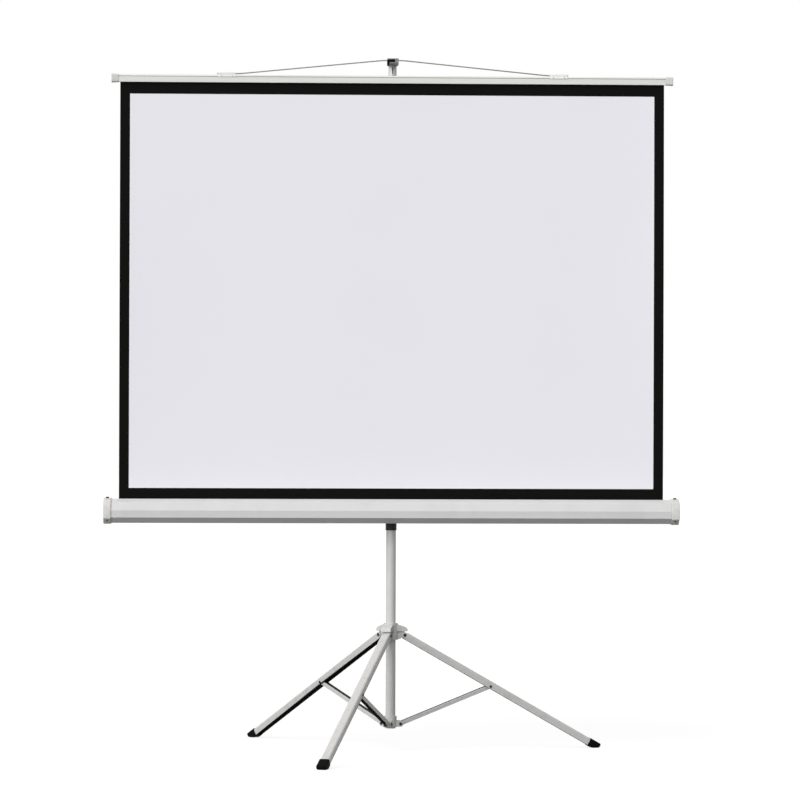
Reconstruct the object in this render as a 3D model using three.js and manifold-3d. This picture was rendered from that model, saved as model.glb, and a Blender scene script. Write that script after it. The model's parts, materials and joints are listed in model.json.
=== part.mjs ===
// A pull-up projection screen on a tripod: a spring roller case carried on a telescoping mast.
// Millimetres, +Z up, the screen faces -Y.
import * as THREE from 'three';
import { mergeVertices } from 'three/addons/utils/BufferGeometryUtils.js';
import Module from 'manifold-3d';

// Fits
const GAP = 0.3; // running clearance between pieces that touch
const ROUND = 24; // sides of a large turned piece
const SMALL_ROUND = 12; // sides of a pin or a small bore
const ARC = 2; // half the steps of a corner's arc
const OVERRUN = 1; // reach of a cutting tool past the body that it cuts

// Screen surface
const VIEW_WIDTH = 1707;
const VIEW_HEIGHT = 1280;
const BORDER_SIDE = 32;
const BORDER_TOP = 38;
const BORDER_BOTTOM = 35;
const FABRIC_THICK = 0.6;
const HEM_DEPTH = 9; // fabric held inside the top bar

// Mast
const MAST_RADIUS = 16;
const MAST_WALL = 1.5;
const MAST_FOOT = 78; // height of the outer tube's lower end
const MAST_TOP = 1215;
const PLUG_FLANGE = 4;
const PLUG_DEPTH = 16;
const INNER_RADIUS = 13.5;
const INNER_WALL = 1.2;
const INNER_FOOT = 1085;
const BUSH_LENGTH = 26;
const BUSH_INSERT = 18;
const SLOT_LENGTH = 23; // punched slot in the inner tube, below the hook
const SLOT_WIDTH = 5;
const SLOT_DROP = 28; // from the inner tube's top to the middle of the slot
const RIVET_HOLE = 2.5;
const RIVET_DROP = 46;

// Hook head on the inner tube
const HOOK_WIDTH = 37;
const HOOK_CAP_WALL = 3;
const HOOK_SKIRT = 12.3;
const HOOK_TOP_WALL = 4;
const HOOK_LIP = 7; // height of the lip above the middle of the wire
const HOOK_LIP_THICK = 5;
const HOOK_FLOOR = 10; // thickness of the nose under the wire
const HOOK_EDGE = 2;

// Clamp knobs
const KNOB_RADIUS = 19;
const KNOB_LOBES = 5;
const KNOB_LOBE_DEPTH = 2.6;
const KNOB_LOBE_STEPS = 8;
const KNOB_EDGE = 2;
const KNOB_THICK = 14;
const KNOB_SCREW = 4;
const KNOB_BOSS = 9; // length of the boss that the screw goes through
const KNOB_BOSS_RADIUS = 10;
const LOCK_WALL = 5;
const LOCK_BELOW = 32;
const LOCK_ABOVE = 20;

// Tripod hub and legs, sizes in a leg's own upright plane
const LEG_BEARINGS = { front: -109.5, right: 10.5, left: 130.5 }; // degrees from +X
const HUB_PIVOT_RADIUS = 44;
const HUB_WALL = 7;
const HUB_BELOW = 15;
const HOOD_HEIGHT = 26;
const HOOD_STEP = 4; // from the sleeve's top to where a hood's slope begins
const HOOD_DROP = 11; // from the sleeve's top to where a hood's end begins to round
const HOOD_LIP = 5; // upright end of a hood
const HOOD_WIDTH = 32;
const HOOD_REACH = 9; // past the leg pivot
const HOOD_ROUND = 9;
const HOOD_PLAY = 3; // between a leg's round end and the hood over it
const LOBE_PLAY = 2; // between a leg's round end and the web behind it
const WEB_STEP = 4;
const TONGUE_WIDTH = 22;
const TONGUE_HALF = 8.5;
const LEG_TILT = 60.2; // degrees from upright
const LEG_LENGTH = 726; // pivot to the end of the channel
const LEG_END_HEIGHT = 17.2; // middle of the channel's end above the floor
const LEG_WIDTH = 30;
const LEG_DEPTH = 23;
const LEG_WALL = 1.6;
const LEG_CORNER = 7;
const LEG_LOBE = 9.6; // round end of the flanges about the pivot
const LEG_BACK_START = 9; // where the channel's back begins
const PIN_RADIUS = 3;
const PIN_HEAD_RADIUS = 5.5;
const PIN_HEAD = 2.4;
const PIN_CROWN = 0.7; // flat top of a head, as a share of its radius
const PIN_RIM = 0.4; // upright rim of a head, as a share of its height

// Feet
const FOOT_WALL = 3.5;
const FOOT_SLEEVE = 18; // over the end of the channel
const FOOT_SHOULDER = 24; // from the end of the channel to where the top begins to round
const FOOT_TOE = 56; // from the end of the channel to where the top's line would end
const FOOT_SOLE_START = 2; // outwards from the middle of the channel's end
const FOOT_SOLE_END = 36;
const FOOT_EDGE = 3;
const FOOT_ARC = 6;

// Braces and lower collar
const BRACE_ALONG = 336; // along the leg from its pivot
const BRACE_OFFSET = 5; // rivet's distance from the leg's middle, towards its open side
const BRACE_WIDTH = 18;
const BRACE_DEPTH = 14;
const BRACE_WALL = 1.4;
const BRACE_CORNER = 3;
const RIVET_RADIUS = 2.5;
const RIVET_HEAD_RADIUS = 4.6;
const RIVET_HEAD = 1.8;
const COLLAR_PIVOT_RADIUS = 31;
const COLLAR_PIVOT_HEIGHT = 89;
const COLLAR_WALL = 4;
const COLLAR_HEIGHT = 36;
const EAR_THICK = 2.6;
const EAR_RADIUS = 10;
const EAR_PLAY = 0.9; // between a brace and each ear

// Case
const CASE_SPARE = 22.5; // case past the fabric at each end
const CASE_TOP = 822;
const CASE_BACK = 29; // from the mast's axis to the case's back
const CASE_DEPTH = 72;
const CASE_WALL = 1.5;
const CASE_BEVEL = 10;
const CASE_UPPER = 31;
const CASE_LOWER = 25;
const CASE_UNDER = 12;
const CASE_SLOT = 6;
const CASE_BACK_DEPTH = 4; // how far each slope of the section runs in depth
const CASE_BACK_DROP = 6;
const CASE_HEEL_DEPTH = 9;
const CASE_UNDER_DEPTH = 29;
const CASE_LOWER_DEPTH = 3;
const CASE_UPPER_DEPTH = 8;
const CASE_BEVEL_DEPTH = 35;
const FABRIC_INSET = 13; // from the case's back to the fabric
const CAP_LENGTH = 26;
const CAP_PROUD = 3; // stands out past the case's outline
const CAP_ROUND = 3;
const CAP_SPIGOT = 10;
const CAP_SPIGOT_WALL = 3;
const SOCKET_RADIUS = 10;
const SOCKET_LENGTH = 14;
const CARRIER_WALL = 5;
const CARRIER_HEIGHT = 54;
const CARRIER_WIDTH = 50;
const CARRIER_LIFT = 12; // above the case's underside
const CARRIER_SKIRT = 24; // thin sleeve that shows under the case
const CARRIER_SKIRT_WALL = 1.8;
const BOLT_RADIUS = 5;
const BOLT_HEAD_RADIUS = 8;
const BOLT_HEAD = 4;
const BOLT_GRIP = 6; // length inside the carrier's pad

// Spring roller
const ROLLER_RADIUS = 19;
const ROLLER_WALL = 1.5;
const ROLLER_SPARE = 7; // roller past the fabric at each end
const ROLL_TURNS = 3;
const ROLL_TURN_PITCH = 0.9;
const ROLL_STEPS = 24; // steps in one turn
const PLUG_LENGTH = 22;
const PLUG_RIM = 3;
const AXLE_RADIUS = 4.3;
const AXLE_LENGTH = 210;
const AXLE_COLLAR_RADIUS = 12;
const AXLE_COLLAR = 8;
const SPRING_RADIUS = 10.5;
const SPRING_WIRE = 1.2;
const SPRING_TURNS = 24;
const SPRING_STEPS = 8;
const SPRING_SIDES = 5;

// Top bar and bail
const BAR_SPARE = 4.5; // bar past the fabric at each end
const BAR_HEIGHT = 25;
const BAR_DEPTH = 16;
const BAR_WALL = 2;
const BAR_CORNER = 5;
const BAR_CAP_LENGTH = 24;
const BAR_CAP_PROUD = 1;
const BAR_CAP_FLARE = 1.1;
const BAR_CAP_EDGE = 1.5;
const BAR_CAP_SPIGOT = 20;
const CLIP_LENGTH = 58;
const CLIP_SPAN = 1080; // between the middles of the two clips
const CLIP_WALL = 1.6;
const CLIP_LEG = 7;
const CLIP_BEAD = 4.2; // radius of the bead round the wire
const BAIL_RADIUS = 2;
const BAIL_RISE = 46;
const BAIL_END = 3; // wire showing past the outer end of a clip
const BAIL_BEND = 14;
const BAIL_SIDES = 8;
const BAIL_STEPS = 56;

// Places that follow from the sizes above
const FABRIC_Y = -(CASE_BACK + FABRIC_INSET);
const FABRIC_WIDTH = VIEW_WIDTH + 2 * BORDER_SIDE;
const CASE_LENGTH = FABRIC_WIDTH + 2 * CASE_SPARE;
const BAR_LENGTH = FABRIC_WIDTH + 2 * BAR_SPARE;
const CASE_HEIGHT = CASE_BEVEL + CASE_UPPER + CASE_LOWER + CASE_UNDER;
const CASE_BOTTOM = CASE_TOP - CASE_HEIGHT;
const ROLL_RADIUS = ROLLER_RADIUS + GAP + FABRIC_THICK + ROLL_TURNS * ROLL_TURN_PITCH;
const ROLLER_Y = FABRIC_Y - FABRIC_THICK / 2 - GAP - ROLL_RADIUS;
const ROLLER_Z = CASE_BOTTOM + CASE_HEIGHT / 2;
const BAR_BOTTOM = CASE_TOP + BORDER_BOTTOM + VIEW_HEIGHT + BORDER_TOP;
const BAR_TOP = BAR_BOTTOM + BAR_HEIGHT;
const WIRE_Z = BAR_TOP + GAP + CLIP_WALL + BAIL_RADIUS;
const HOOK_WIRE_Z = WIRE_Z + BAIL_RISE;
const INNER_TOP = HOOK_WIRE_Z - BAIL_RADIUS;
const TILT = THREE.MathUtils.degToRad(LEG_TILT);
const HUB_PIVOT_HEIGHT = LEG_LENGTH * Math.cos(TILT) + LEG_END_HEIGHT;
const LEG_END_RADIUS = HUB_PIVOT_RADIUS + LEG_LENGTH * Math.sin(TILT);

// Finishes
const finish = (color, roughness, metalness) => (
  new THREE.MeshStandardMaterial({ color, roughness, metalness })
);
const silverPaint = finish(0xd2d2d0, 0.42, 0.35);
const aluminium = finish(0xd8d9d8, 0.35, 0.8);
const steel = finish(0xa8a9aa, 0.35, 0.9);
const casting = finish(0xcfcfcc, 0.5, 0.3);
const greyPlastic = finish(0xc9c9c7, 0.55, 0);
const blackPlastic = finish(0x1a1a1b, 0.5, 0);
const blackRubber = finish(0x161616, 0.8, 0);
const vinyl = finish(0xe3e3e8, 0.75, 0);

const wasm = await Module();
wasm.setup();

/** Merges shared corners, drops flat faces and turns every face outwards. */
function closed(geometry) {
  const bare = geometry.clone();
  for (const name of Object.keys(bare.attributes)) {
    if (name !== 'position') bare.deleteAttribute(name);
  }
  const merged = mergeVertices(bare, 1e-4);
  const corner = (i) => new THREE.Vector3().fromBufferAttribute(merged.attributes.position, i);
  const faces = [];
  let volume = 0;
  for (let i = 0; i < merged.index.count; i += 3) {
    const [a, b, c] = [0, 1, 2].map((k) => merged.index.getX(i + k));
    if (a === b || b === c || c === a) continue;
    faces.push([a, b, c]);
    volume += corner(a).dot(corner(b).cross(corner(c)));
  }
  merged.setIndex(faces.flatMap(([a, b, c]) => (volume < 0 ? [a, c, b] : [a, b, c])));
  return merged;
}

function toSolid(geometry) {
  const body = closed(geometry);
  return new wasm.Manifold(new wasm.Mesh({
    numProp: 3,
    vertProperties: new Float32Array(body.attributes.position.array),
    triVerts: new Uint32Array(body.index.array),
  }));
}

function toGeometry(solid) {
  const { vertProperties, triVerts } = solid.getMesh();
  const geometry = new THREE.BufferGeometry();
  geometry.setAttribute('position', new THREE.BufferAttribute(vertProperties, 3));
  geometry.setIndex(new THREE.BufferAttribute(triVerts, 1));
  return geometry;
}

const join = (...parts) => toGeometry(parts.map(toSolid).reduce((a, b) => a.add(b)));
const cut = (body, ...tools) =>
  toGeometry(tools.map(toSolid).reduce((left, tool) => left.subtract(tool), toSolid(body)));
const common = (a, b) => toGeometry(toSolid(a).intersect(toSolid(b)));

function mesh(name, geometry, material) {
  const body = closed(geometry).toNonIndexed();
  body.computeVertexNormals();
  const piece = new THREE.Mesh(body, material);
  piece.name = name;
  return piece;
}

// Outlines
/** A closed outline from [x, y] points, always anticlockwise. */
function polygon(points) {
  const corners = points.map(([x, y]) => new THREE.Vector2(x, y));
  return new THREE.Shape(THREE.ShapeUtils.area(corners) < 0 ? corners.reverse() : corners);
}

function disc(radius, x = 0, y = 0) {
  return new THREE.Shape().absarc(x, y, radius, 0, 2 * Math.PI);
}

function ring(outer, inner) {
  const shape = disc(outer);
  shape.holes.push(disc(inner));
  return shape;
}

/** A rectangle with its corners rounded. */
function roundedRectangle(x0, y0, x1, y1, radius) {
  const shape = new THREE.Shape();
  shape.absarc(x1 - radius, y1 - radius, radius, 0, Math.PI / 2);
  shape.absarc(x0 + radius, y1 - radius, radius, Math.PI / 2, Math.PI);
  shape.absarc(x0 + radius, y0 + radius, radius, Math.PI, 1.5 * Math.PI);
  shape.absarc(x1 - radius, y0 + radius, radius, 1.5 * Math.PI, 2 * Math.PI);
  return shape;
}

/** A slot outline with two round ends. */
function obround(x0, x1, y, radius) {
  const shape = new THREE.Shape();
  shape.absarc(x1, y, radius, -Math.PI / 2, Math.PI / 2);
  shape.absarc(x0, y, radius, Math.PI / 2, 1.5 * Math.PI);
  return shape;
}

/** Moves each side of a closed outline outwards by a distance, with square corners. */
function offset(points, distance) {
  const count = points.length;
  const area = points.reduce((sum, [x, y], i) => {
    const [u, v] = points[(i + 1) % count];
    return sum + x * v - u * y;
  }, 0);
  const outward = distance * Math.sign(area);
  return points.map((point, i) => {
    const here = new THREE.Vector2(...point);
    const before = here.clone().sub(new THREE.Vector2(...points[(i + count - 1) % count])).normalize();
    const after = new THREE.Vector2(...points[(i + 1) % count]).sub(here).normalize();
    const normal = new THREE.Vector2(before.y + after.y, -before.x - after.x);
    const scale = (2 * outward) / normal.lengthSq();
    return [here.x + normal.x * scale, here.y + normal.y * scale];
  });
}

// Prisms along each axis
const X = new THREE.Vector3(1, 0, 0);
const Y = new THREE.Vector3(0, 1, 0);
const Z = new THREE.Vector3(0, 0, 1);

/** An outline swept along Z; each arc, a whole circle too, takes twice the segments given. */
function prism(shape, length, segments, bevel) {
  const edge = bevel
    ? { bevelEnabled: true, bevelSize: bevel, bevelThickness: bevel, bevelOffset: -bevel, bevelSegments: 2 }
    : { bevelEnabled: false };
  const depth = bevel ? length - 2 * bevel : length;
  const body = new THREE.ExtrudeGeometry(shape, { depth, curveSegments: segments, ...edge });
  return body.translate(0, 0, bevel ?? 0);
}

const prismZ = (shape, z0, z1, segments = ROUND / 2) => prism(shape, z1 - z0, segments).translate(0, 0, z0);

/** An outline in (y, z) swept along X. */
function prismX(shape, x0, x1, segments = ARC, bevel = undefined) {
  const turn = new THREE.Matrix4().makeBasis(Y, Z, X);
  return prism(shape, x1 - x0, segments, bevel).applyMatrix4(turn).translate(x0, 0, 0);
}

/** An outline in (x, z) swept along Y. */
function prismY(shape, y0, y1, segments = ARC, bevel = undefined) {
  const turn = new THREE.Matrix4().makeBasis(X, Z, Y.clone().negate());
  return prism(shape, y1 - y0, segments, bevel).applyMatrix4(turn).translate(0, y1, 0);
}

/** A turned piece about Z from (radius, height) points. */
function turned(points, sides = ROUND) {
  const profile = points.map(([r, z]) => new THREE.Vector2(r, z));
  return new THREE.LatheGeometry(profile, sides).rotateX(Math.PI / 2);
}

const rodX = (radius, x0, x1, y, z) => prismX(disc(radius, y, z), x0, x1, SMALL_ROUND / 2);
const rodY = (radius, y0, y1, x, z, sides = SMALL_ROUND) => prismY(disc(radius, x, z), y0, y1, sides / 2);

/** A pin across Y with a flat round head at each end, centred on the origin. */
function headedPin(radius, headRadius, head, span) {
  const half = span / 2;
  const profile = [
    [0, -half - head], [headRadius * PIN_CROWN, -half - head], [headRadius, -half - head * PIN_RIM],
    [headRadius, -half], [radius, -half], [radius, half], [headRadius, half],
    [headRadius, half + head * PIN_RIM], [headRadius * PIN_CROWN, half + head], [0, half + head],
  ];
  return turned(profile, SMALL_ROUND).rotateX(Math.PI / 2);
}

/** A channel along X: its back at +Z, its open side at -Z, its corners rounded. */
function channel(x0, x1, width, depth, wall, corner) {
  const half = width / 2;
  const back = depth / 2;
  const inner = corner - wall;
  const shape = new THREE.Shape();
  shape.moveTo(half, -back);
  shape.absarc(half - corner, back - corner, corner, 0, Math.PI / 2);
  shape.absarc(corner - half, back - corner, corner, Math.PI / 2, Math.PI);
  shape.lineTo(-half, -back);
  shape.lineTo(wall - half, -back);
  shape.absarc(corner - half, back - corner, inner, Math.PI, Math.PI / 2, true);
  shape.absarc(half - corner, back - corner, inner, Math.PI / 2, 0, true);
  shape.lineTo(half - wall, -back);
  return prismX(shape, x0, x1, ARC);
}

// Clamp knob: a lobed grip on a plain screw, pointing along +Y from the screw's tip
function clampKnob(screwLength) {
  const points = [];
  const steps = KNOB_LOBES * KNOB_LOBE_STEPS;
  for (let i = 0; i < steps; i += 1) {
    const angle = (2 * Math.PI * i) / steps;
    const radius = KNOB_RADIUS - (KNOB_LOBE_DEPTH * (1 - Math.cos(KNOB_LOBES * angle))) / 2;
    points.push([radius * Math.cos(angle), radius * Math.sin(angle)]);
  }
  const grip = prismY(polygon(points), screwLength, screwLength + KNOB_THICK, 1, KNOB_EDGE);
  return join(grip, rodY(KNOB_SCREW, 0, screwLength + KNOB_THICK / 2, 0, 0));
}

// Mast
function buildMast() {
  const bore = MAST_RADIUS - MAST_WALL;
  const tube = prismZ(ring(MAST_RADIUS, bore), MAST_FOOT, MAST_TOP);
  const plug = turned([
    [0, MAST_FOOT - PLUG_FLANGE], [MAST_RADIUS, MAST_FOOT - PLUG_FLANGE], [MAST_RADIUS, MAST_FOOT - GAP],
    [bore - GAP, MAST_FOOT - GAP], [bore - GAP, MAST_FOOT + PLUG_DEPTH], [0, MAST_FOOT + PLUG_DEPTH],
  ]);
  const lockRadius = MAST_RADIUS + GAP + LOCK_WALL;
  const lockTop = MAST_TOP + LOCK_ABOVE;
  const sleeve = turned([
    [MAST_RADIUS + GAP, MAST_TOP - LOCK_BELOW], [lockRadius, MAST_TOP - LOCK_BELOW],
    [lockRadius, lockTop - LOCK_WALL], [lockRadius - LOCK_WALL, lockTop], [INNER_RADIUS + GAP, lockTop],
    [INNER_RADIUS + GAP, MAST_TOP + GAP], [MAST_RADIUS + GAP, MAST_TOP + GAP],
    [MAST_RADIUS + GAP, MAST_TOP - LOCK_BELOW],
  ]);
  const screwZ = (MAST_TOP + GAP + lockTop) / 2;
  const boss = rodY(KNOB_BOSS_RADIUS, MAST_RADIUS + GAP, lockRadius + KNOB_BOSS, 0, screwZ);
  const screwBore = rodY(KNOB_SCREW + GAP, 0, lockRadius + KNOB_BOSS + OVERRUN, 0, screwZ);
  const knobStart = INNER_RADIUS + GAP;
  const knob = clampKnob(lockRadius + KNOB_BOSS + GAP - knobStart).translate(0, knobStart, screwZ);
  return [
    mesh('mast_outer_tube', tube, silverPaint),
    mesh('mast_foot_plug', plug, blackPlastic),
    mesh('extension_lock_collar', cut(join(sleeve, boss), screwBore), blackPlastic),
    mesh('extension_lock_knob', knob, blackPlastic),
  ];
}

// Sliding inner tube with its guide bush and hook head
function buildExtension() {
  const bore = INNER_RADIUS - INNER_WALL;
  const tube = prismZ(ring(INNER_RADIUS, bore), INNER_FOOT, INNER_TOP);
  const slotZ = INNER_TOP - SLOT_DROP;
  const halfSlot = (SLOT_LENGTH - SLOT_WIDTH) / 2;
  const slot = prismY(obround(-halfSlot, halfSlot, 0, SLOT_WIDTH / 2), -INNER_RADIUS - OVERRUN, 0)
    .rotateY(Math.PI / 2).translate(0, 0, slotZ);
  const rivetHole = rodY(RIVET_HOLE, -INNER_RADIUS - OVERRUN, 0, 0, INNER_TOP - RIVET_DROP);
  const bushFoot = INNER_FOOT - (BUSH_LENGTH - BUSH_INSERT);
  const bushRadius = MAST_RADIUS - MAST_WALL - GAP;
  const bush = turned([
    [0, bushFoot], [bushRadius, bushFoot], [bushRadius, INNER_FOOT - GAP], [bore - GAP, INNER_FOOT - GAP],
    [bore - GAP, INNER_FOOT + BUSH_INSERT], [0, INNER_FOOT + BUSH_INSERT],
  ]);
  const capRadius = INNER_RADIUS + GAP + HOOK_CAP_WALL;
  const capTop = INNER_TOP + GAP + HOOK_TOP_WALL;
  const cap = turned([
    [0, capTop], [capRadius - HOOK_EDGE, capTop], [capRadius, capTop - HOOK_EDGE],
    [capRadius, INNER_TOP - HOOK_SKIRT], [INNER_RADIUS + GAP, INNER_TOP - HOOK_SKIRT],
    [INNER_RADIUS + GAP, INNER_TOP + GAP], [0, INNER_TOP + GAP],
  ]);
  const seat = BAIL_RADIUS + GAP;
  const noseFloor = HOOK_WIRE_Z - seat - HOOK_FLOOR;
  const lipTop = HOOK_WIRE_Z + HOOK_LIP;
  const front = FABRIC_Y - seat - HOOK_LIP_THICK;
  const nose = new THREE.Shape();
  nose.moveTo(-INNER_RADIUS - GAP - HOOK_CAP_WALL / 2, noseFloor - HOOK_EDGE);
  nose.lineTo(-INNER_RADIUS - GAP - HOOK_CAP_WALL / 2, HOOK_WIRE_Z);
  nose.lineTo(FABRIC_Y + seat, HOOK_WIRE_Z);
  nose.absarc(FABRIC_Y, HOOK_WIRE_Z, seat, 0, Math.PI, true);
  nose.absarc(front + HOOK_LIP_THICK / 2, lipTop - HOOK_LIP_THICK / 2, HOOK_LIP_THICK / 2, 0, Math.PI);
  nose.lineTo(front, noseFloor + HOOK_FLOOR / 2);
  nose.absarc(front + HOOK_FLOOR / 2, noseFloor + HOOK_FLOOR / 2, HOOK_FLOOR / 2, Math.PI, 1.5 * Math.PI);
  const head = join(cap, prismX(nose, -HOOK_WIDTH / 2, HOOK_WIDTH / 2));
  return [
    mesh('mast_inner_tube', cut(tube, slot, rivetHole), aluminium),
    mesh('inner_guide_bush', bush, blackPlastic),
    mesh('hook_head', head, blackPlastic),
  ];
}

// Tripod hub: a sleeve on the mast with three hooded arms, each ending in a tongue for a leg
function buildHub() {
  const foot = HUB_PIVOT_HEIGHT - HUB_BELOW;
  const hoodFoot = HUB_PIVOT_HEIGHT + LEG_LOBE + HOOD_PLAY;
  const top = hoodFoot + HOOD_HEIGHT;
  const radius = MAST_RADIUS + GAP + HUB_WALL;
  const innerReach = HUB_PIVOT_RADIUS - LEG_LOBE - LOBE_PLAY;
  const hoodEnd = HUB_PIVOT_RADIUS + HOOD_REACH;
  const hoodShape = new THREE.Shape();
  hoodShape.moveTo(MAST_RADIUS, hoodFoot);
  hoodShape.lineTo(hoodEnd, hoodFoot);
  hoodShape.lineTo(hoodEnd, hoodFoot + HOOD_LIP);
  const fall = (HOOD_DROP - HOOD_STEP) / (hoodEnd - HOOD_ROUND - radius);
  const corner = top - HOOD_DROP - fall * HOOD_ROUND;
  hoodShape.quadraticCurveTo(hoodEnd, corner, hoodEnd - HOOD_ROUND, top - HOOD_DROP);
  hoodShape.lineTo(radius, top - HOOD_STEP);
  hoodShape.lineTo(MAST_RADIUS, top - HOOD_STEP);
  const arms = Object.values(LEG_BEARINGS).map((bearing) => {
    const hood = prismY(hoodShape, -HOOD_WIDTH / 2, HOOD_WIDTH / 2);
    const web = polygon([
      [MAST_RADIUS, foot], [innerReach, foot + WEB_STEP],
      [innerReach, HUB_PIVOT_HEIGHT], [HUB_PIVOT_RADIUS, HUB_PIVOT_HEIGHT],
      [HUB_PIVOT_RADIUS, hoodFoot + HOOD_LIP], [MAST_RADIUS, top - HOOD_DROP],
    ]);
    const tongue = obround(MAST_RADIUS + WEB_STEP, HUB_PIVOT_RADIUS, HUB_PIVOT_HEIGHT, TONGUE_HALF);
    const half = TONGUE_WIDTH / 2;
    const arm = join(hood, prismY(web, -half, half), prismY(tongue, -half, half, ARC * 2));
    const bore = rodY(PIN_RADIUS + GAP, -LEG_WIDTH, LEG_WIDTH, HUB_PIVOT_RADIUS, HUB_PIVOT_HEIGHT);
    return cut(arm, bore).rotateZ(THREE.MathUtils.degToRad(bearing));
  });
  const sleeve = prismZ(disc(radius), foot, top);
  const mastBore = prismZ(disc(MAST_RADIUS + GAP), foot - OVERRUN, top + OVERRUN);
  return mesh('tripod_hub', cut(join(sleeve, ...arms), mastBore), casting);
}

/** The rivet between a leg and its brace, in the leg's upright plane. */
function bracePoint() {
  const along = new THREE.Vector2(Math.sin(TILT), -Math.cos(TILT)).multiplyScalar(BRACE_ALONG);
  const across = new THREE.Vector2(Math.cos(TILT), Math.sin(TILT)).multiplyScalar(-BRACE_OFFSET);
  return new THREE.Vector2(HUB_PIVOT_RADIUS, HUB_PIVOT_HEIGHT).add(along).add(across);
}

// Leg channel, along +X from its pivot with its back up
function legChannel() {
  const back = LEG_DEPTH / 2;
  const side = new THREE.Shape();
  side.absarc(0, 0, LEG_LOBE, Math.PI / 2, 1.5 * Math.PI);
  side.lineTo(LEG_BACK_START, -back - OVERRUN);
  side.lineTo(LEG_LENGTH + OVERRUN, -back - OVERRUN);
  side.lineTo(LEG_LENGTH + OVERRUN, back + OVERRUN);
  side.lineTo(LEG_BACK_START + OVERRUN, back + OVERRUN);
  side.lineTo(LEG_BACK_START, LEG_LOBE);
  const blank = channel(-LEG_LOBE - OVERRUN, LEG_LENGTH, LEG_WIDTH, LEG_DEPTH, LEG_WALL, LEG_CORNER);
  const shaped = common(blank, prismY(side, -LEG_WIDTH, LEG_WIDTH, ARC * 2));
  const pivot = rodY(PIN_RADIUS + GAP, -LEG_WIDTH, LEG_WIDTH, 0, 0);
  const rivet = rodY(RIVET_RADIUS + GAP, -LEG_WIDTH, LEG_WIDTH, BRACE_ALONG, -BRACE_OFFSET);
  return cut(shaped, pivot, rivet);
}

// Rubber foot over the end of a leg, in the leg's upright plane, cut flat where it meets the floor
function rubberFoot() {
  const along = new THREE.Vector2(Math.sin(TILT), -Math.cos(TILT));
  const across = new THREE.Vector2(Math.cos(TILT), Math.sin(TILT));
  const half = LEG_DEPTH / 2 + GAP + FOOT_WALL;
  const at = (u, w) => {
    const point = new THREE.Vector2(HUB_PIVOT_RADIUS, HUB_PIVOT_HEIGHT);
    return point.addScaledVector(along, u).addScaledVector(across, w);
  };
  const heel = at(LEG_LENGTH - FOOT_SLEEVE, -half);
  const upper = at(LEG_LENGTH - FOOT_SLEEVE, half);
  const shoulder = at(LEG_LENGTH + FOOT_SHOULDER, half);
  const toe = at(LEG_LENGTH + FOOT_TOE, half);
  const side = new THREE.Shape();
  side.moveTo(heel.x, heel.y);
  side.lineTo(LEG_END_RADIUS + FOOT_SOLE_START, 0);
  side.lineTo(LEG_END_RADIUS + FOOT_SOLE_END, 0);
  side.quadraticCurveTo(toe.x, toe.y, shoulder.x, shoulder.y);
  side.lineTo(upper.x, upper.y);
  const width = LEG_WIDTH / 2 + GAP + FOOT_WALL;
  const boot = prismY(side, -width, width, FOOT_ARC, FOOT_EDGE);
  const section = roundedRectangle(
    -LEG_WIDTH / 2 - GAP, -LEG_DEPTH / 2 - GAP, LEG_WIDTH / 2 + GAP, LEG_DEPTH / 2 + GAP, GAP,
  );
  const pocket = prismX(section, LEG_LENGTH - 2 * FOOT_SLEEVE, LEG_LENGTH + GAP)
    .rotateY(Math.PI / 2 - TILT).translate(HUB_PIVOT_RADIUS, 0, HUB_PIVOT_HEIGHT);
  return cut(boot, pocket);
}

// Brace channel, along +X from the leg's rivet to the collar, with its open side at +Z
function braceChannel(length) {
  const lobe = BRACE_DEPTH / 2;
  const blank = channel(-lobe, length + lobe, BRACE_WIDTH, BRACE_DEPTH, BRACE_WALL, BRACE_CORNER);
  const ends = prismY(obround(0, length, 0, lobe), -BRACE_WIDTH, BRACE_WIDTH, ARC * 2);
  const shaped = common(blank.rotateX(Math.PI), ends);
  return cut(shaped, rodY(RIVET_RADIUS + GAP, -BRACE_WIDTH, BRACE_WIDTH, 0, 0));
}

// Lower collar: a sleeve at the mast's foot with a pair of ears for each brace
function lowerCollar() {
  const radius = MAST_RADIUS + GAP + COLLAR_WALL;
  const ears = Object.values(LEG_BEARINGS).flatMap((bearing) => [-1, 1].map((way) => {
    const inner = BRACE_WIDTH / 2 + EAR_PLAY;
    const outer = inner + EAR_THICK;
    const span = way > 0 ? [inner, outer] : [-outer, -inner];
    const outline = obround(MAST_RADIUS / 2, COLLAR_PIVOT_RADIUS, COLLAR_PIVOT_HEIGHT, EAR_RADIUS);
    const plate = prismY(outline, ...span, ARC * 2);
    const headSpan = way > 0 ? [inner, outer + RIVET_HEAD] : [-outer - RIVET_HEAD, -inner];
    const head = rodY(RIVET_HEAD_RADIUS, ...headSpan, COLLAR_PIVOT_RADIUS, COLLAR_PIVOT_HEIGHT);
    return join(plate, head).rotateZ(THREE.MathUtils.degToRad(bearing));
  }));
  const sleeve = prismZ(disc(radius), MAST_FOOT, MAST_FOOT + COLLAR_HEIGHT);
  const bore = prismZ(disc(MAST_RADIUS + GAP), 0, MAST_FOOT + COLLAR_HEIGHT + OVERRUN);
  return mesh('mast_lower_collar', cut(join(sleeve, ...ears), bore), casting);
}

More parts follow.
